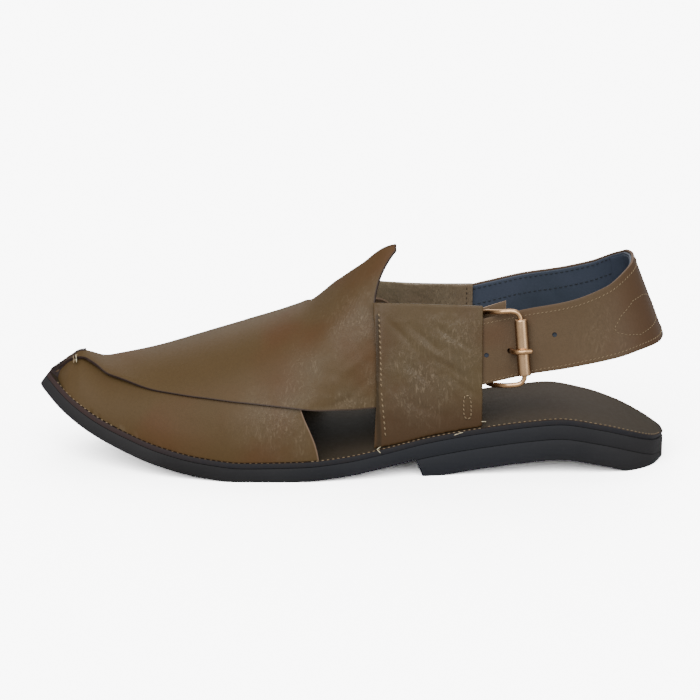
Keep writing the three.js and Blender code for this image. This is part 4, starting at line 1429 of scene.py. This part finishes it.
sewn = 0
low_edge, high_edge = mix(2.8, 0.95, np.abs(reaches)), mix(3.2, 2.3, np.abs(reaches) ** 4)
for name, share in (("low", low_edge / strap_widths), ("high", 1 - high_edge / strap_widths)):
    sewn += stitch_row("strap_seam_" + name, *strap_line(reaches, share, strap_face_out), tan_thread, 1.9, 1.5,
                       0.2, "strap_leather", 0.3)
for name, from_top in (("high", 2.0), ("middle", 9.8), ("low", 27.0)):
    share = 1 - from_top / strap_widths
    sewn += stitch_row("lining_seam_" + name, *strap_line(reaches, share, lining_out), navy_thread, 2.5, 1.8,
                       0.24, "strap_leather")
# The heart's corners: how far round the heel, and how far up the strap.
heart = np.array([(-0.405, 0.4), (-0.367, 0.52), (-0.282, 0.61), (-0.19, 0.6), (-0.1, 0.53), (-0.03, 0.4),
                  (-0.05, 0.29), (-0.12, 0.24), (-0.212, 0.2), (-0.28, 0.182), (-0.342, 0.24), (-0.39, 0.325),
                  (-0.405, 0.4)])
steps = np.linspace(0, len(heart) - 1, 120)
for side, name in ((1, "outer"), (-1, "inner")):
    round_heel, up_strap = (np.interp(steps, range(len(heart)), heart[:, i]) for i in (0, 1))
    sewn += stitch_row(f"heel_patch_{name}", *strap_line(round_heel * side, up_strap, strap_face_out),
                       tan_thread, 1.9, 1.4, 0.2, "strap_leather")
print("strap stitches", sewn)

# %% [markdown]
# ## The heel's second lining and the buckle's tab
# A second piece of navy leather is glued over the lining where it rubs the heel. At the buckle a short tab
# of hide holds the front bar behind the strap, and its pale cut edge shows above the frame.

# %% Second lining and tab
lining_depth = -strap_thickness / 2 - 0.42
heel_lining = wrapped_sheet("heel_lining", 60, 20, lambda u, v: on_strap(
    mix(0.3, -0.3, u), mix(0.06, 0.955, v), np.full_like(u, lining_depth)))
thicken(heel_lining, 0.5, 0.15, navy.material, navy.material, navy.material)

tab_depth, tab_slope = -3.9, 0.6
tab_edge = raw_leather("pale tab edge", seen(196, 182, 164), seen(166, 150, 132))
tab = wrapped_sheet("buckle_tab", 24, 16, lambda u, v: on_strap(
    mix(-1.06, -0.885, u), mix(0.3, mix(1.14, 1.185, u), v), np.full_like(u, tab_depth) - tab_slope * u))
thicken(tab, 1.6, 0.2, strap_face, flesh_side, tab_edge)
for layer in (heel_lining, tab):
    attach(layer, "root")
print("tab and second lining", len(tab.data.polygons) + len(heel_lining.data.polygons), "faces")

# %% [markdown]
# ## The seam round the rim
# The insole's rim is sewn all round through the leather that stands on it. The thread is tan and coarse at
# the toe, browner under the leaves, and further in from the edge at the heel, so the seam is made in four
# stretches a side.

# %% Seam of the rim
def rim_line(start, end, side, inset, count=240):
    along = np.linspace(along_of(start), along_of(end), count)
    width = sole_rim(along, -1) + sole_rim(along, 1)
    share = inset / width
    points = deck_point(along, share if side < 0 else 1 - share)
    return points, np.tile((0.0, 0.0, 1.0), (count, 1))


# Each stretch's start and end, its inset from the rim, its thread, and the stitches' pitch, length and radius.
rim_stretches = [
    ("toe", toe_x + 4, -108, 0.6, tan_thread, 2.5, 1.7, 0.26),
    ("front", -107, -20, 0.55, brown_thread, 2.6, 1.4, 0.2),
    ("waist", -18, 60, 0.8, tan_thread, 2.3, 1.5, 0.22),
    ("heel", 62, heel_x - 3, 1.7, tan_thread, 2.3, 1.5, 0.22),
]
sewn = 0
for side, side_name in ((-1, "outer"), (1, "inner")):
    for name, start, end, inset, thread, *stitch in rim_stretches:
        sewn += stitch_row(f"rim_{side_name}_{name}", *rim_line(start, end, side, inset), thread, *stitch,
                           "insole_leather")
print("rim stitches", sewn)

# %% [markdown]
# ## Seams of the panels
# On the outer panel one column of slanting stitches closes the front fold, and a small loop of stitches at
# the back holds the strap's tail. The inner panel has one column near its mouth, inside and outside. A seam
# on a panel asks the last where the wall is at that height.

# %% Seams of the panels
def wall_line(places, distance, side, facing=1.0):
    x, height = np.array(places, float).T
    steps = np.linspace(0, len(x) - 1, 12 * len(x))
    rows = range(len(x))
    x, height = np.interp(steps, rows, x), np.interp(steps, rows, height)
    points, out = on_wall(x, height, np.full_like(x, distance), side)
    return points, out * facing


tail_loop = [(38.6, 31), (38.7, 35), (39.3, 36.6), (40.9, 36.5), (41.9, 34.6), (42.1, 31), (42.1, 28),
             (41.4, 26.2), (39.8, 26), (38.8, 27.6), (38.6, 31)]
tail_loop = [(panel_front + behind, height) for behind, height in tail_loop]
mouth_top, mouth_foot = inner_mouth - 3, inner_mouth - 2.4
# Each row's places as seen from the side, its distance out from the last, its side, the way it faces, its
# thread, and the stitches' pitch, length, radius and slant.
panel_rows = [
    ("outer_column", [(13.6, 73), (13.35, 41)], panel_stack - 0.42, -1, 1, tan_thread, 2.3, 1.9, 0.42, 0.35),
    ("outer_column_low", [(13.4, 39.5), (15, 19)], panel_stack - 0.38, -1, 1, tan_thread, 2.5, 1.9, 0.38, 0.25),
    ("outer_bar", tail_loop, panel_stack + 0.08, -1, 1, tan_thread, 1.9, 1.6, 0.3, 0.25),
    ("inner_column", [(mouth_top, 76), (mouth_foot, 30)], -0.05, 1, -1, dark_thread, 2.4, 1.7, 0.26, 0),
    ("inner_outside", [(mouth_top, 74), (mouth_foot, 20)], panel_stack + 0.1, 1, 1, dark_thread, 2.4, 1.7, 0.26,
     0),
]
sewn = 0
for name, places, distance, side, facing, thread, *stitch, slant in panel_rows:
    line, outward = wall_line(places, distance, side, facing)
    sewn += stitch_row("panel_" + name, line, outward, thread, *stitch, "panel_leather", slant)
print("panel stitches", sewn)

# %% [markdown]
# ## The knot and the loose ends
# Three crossing stitches tie the leaf down beside the prow, and a few cut ends of thread stand out of the
# seams. They are single stitches from the same helper, longer and thinner.

# %% Knot and thread ends
# Each thread's place along the sole at its upper and its lower end.
knot_threads = ((0.0455, 0.0475, tan_thread), (0.0495, 0.0515, pale_thread), (0.0515, 0.047, tan_thread))
knot_top, knot_foot, knot_height = 0.455, 0.35, 3.9
for k, (upper, lower, thread) in enumerate(knot_threads):
    share = np.linspace(0, 1, 12)
    line, outward = on_last(mix(upper, lower, share), mix(knot_top, knot_foot, share),
                            np.full_like(share, knot_height))
    stitch_row(f"toe_knot_{k}", line, outward, thread, 2.4, 2.8, 0.3)
# Where each cut end comes out, and which way it leans.
ends = [((12.6, -44.6, 13.6), (0.3, -0.8, 0.5)), ((13.4, -45.0, 15.4), (-0.4, -0.8, 0.4)),
        ((48.6, -41.3, 20.6), (-0.6, -0.6, 0.4)), ((49.4, -41.3, 20.8), (0.3, -0.5, 0.8)),
        ((59.6, -37.2, 25.2), (0.7, -0.4, 0.5))]
for k, (root, lean) in enumerate(ends):
    tip = np.array(root) + np.array(lean) * 2.4
    stitch_row(f"thread_end_{k}", [root, tip], [(0, -0.6, 0.8)] * 2, pale_thread, 9, 2.6, 0.2, "panel_leather")
print("knot threads", len(knot_threads), "and loose ends", len(ends))

# %% [markdown]
# ## Floor and sky
# The shoe stands on a plain white floor under an even sky. Both look paper white in the picture but light
# the shoe softly, because a Light Path node gives the camera's own rays a brighter value than all others.

# %% Floor and sky
paper, floor_shown, floor_lit, sky_shown, sky_lit = (1, 1, 1), 7.2, 0.4, 8.0, 0.42
clear_selection()
bpy.ops.mesh.primitive_plane_add(size=30)
floor = bpy.context.object
floor.name = "floor"
floor.data.materials.append(bpy.data.materials.new("white floor"))
floor.active_material.use_nodes = True


def backdrop(tree, target, shown, lit):
    """The picture shows one brightness of paper, and the shoe is lit by another."""
    rays = tree.nodes.new("ShaderNodeLightPath")
    choice = tree.nodes.new("ShaderNodeMix")
    choice.data_type = "RGBA"
    tree.links.new(rays.outputs["Is Camera Ray"], choice.inputs[0])
    choice.inputs[6].default_value = (*(c * lit for c in paper), 1)
    choice.inputs[7].default_value = (*(c * shown for c in paper), 1)
    tree.links.new(choice.outputs[2], target)


tree = floor.active_material.node_tree
matt = tree.nodes.new("ShaderNodeBsdfDiffuse")
tree.links.new(matt.outputs[0], tree.nodes["Material Output"].inputs["Surface"])
backdrop(tree, matt.inputs["Color"], floor_shown, floor_lit)
floor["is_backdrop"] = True

world = bpy.data.worlds.new("bright even sky")
bpy.context.scene.world = world
world.use_nodes = True
sky = world.node_tree.nodes["Background"]
backdrop(world.node_tree, sky.inputs["Color"], sky_shown, sky_lit)
print("floor and sky made")

# %% [markdown]
# ## Soft boxes
# Three soft boxes light the shoe: a large one over the camera for the sheen, one from the side and one from
# behind. Each is a sun lamp with a wide disc, so that the floor is lit evenly to its far edge.

# %% Soft boxes
def soft_sun(name, direction, spread, power):
    """A lamp so far away that it lights the floor evenly, with a disc as wide as a studio soft box."""
    light = bpy.data.lights.new(name, "SUN")
    light.angle, light.energy = math.radians(spread), power
    holder = bpy.data.objects.new(name, light)
    bpy.context.collection.objects.link(holder)
    holder.rotation_euler = (-Vector(direction)).to_track_quat("-Z", "Y").to_euler()


soft_sun("front box", (-0.35, -1.0, 1.0), 60, 2.4)
soft_sun("side box", (0.8, -0.8, 0.5), 50, 0.7)
soft_sun("back box", (0.1, 0.9, 0.8), 60, 0.9)
print("soft boxes", len(bpy.data.lights))

# %% [markdown]
# ## Camera
# The camera looks a little down on the outer side, as the photograph does, with a long lens from about a
# metre away, so that the shoe is drawn with little perspective.

# %% Camera
camera_pitch, camera_distance = math.radians(14.5), 0.927
camera_aim = Vector((-0.00108, -0.00136, 0.0495))
view_width, sensor_width = math.radians(20), 36
lens = bpy.data.cameras.new("photo camera")
lens.sensor_width, lens.lens = sensor_width, sensor_width / 2 / math.tan(view_width / 2)
camera = bpy.data.objects.new("photo camera", lens)
bpy.context.collection.objects.link(camera)
camera.location = camera_aim + camera_distance * Vector((0, -math.cos(camera_pitch), math.sin(camera_pitch)))
camera.rotation_euler = (math.pi / 2 - camera_pitch, 0, 0)
bpy.context.scene.camera = camera
print("camera at", [round(c, 3) for c in camera.location])

# %% [markdown]
# ## Sizes at the end
# The dressed shoe must stay the size of its solids, so both boxes are printed side by side.

# %% Sizes side by side
dressed_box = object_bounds()
boxes = {"solids": [list(corner) for corner in solid_box], "dressed": [list(corner) for corner in dressed_box]}
for name, box in boxes.items():
    print(name, [[round(c, 4) for c in corner] for corner in box])
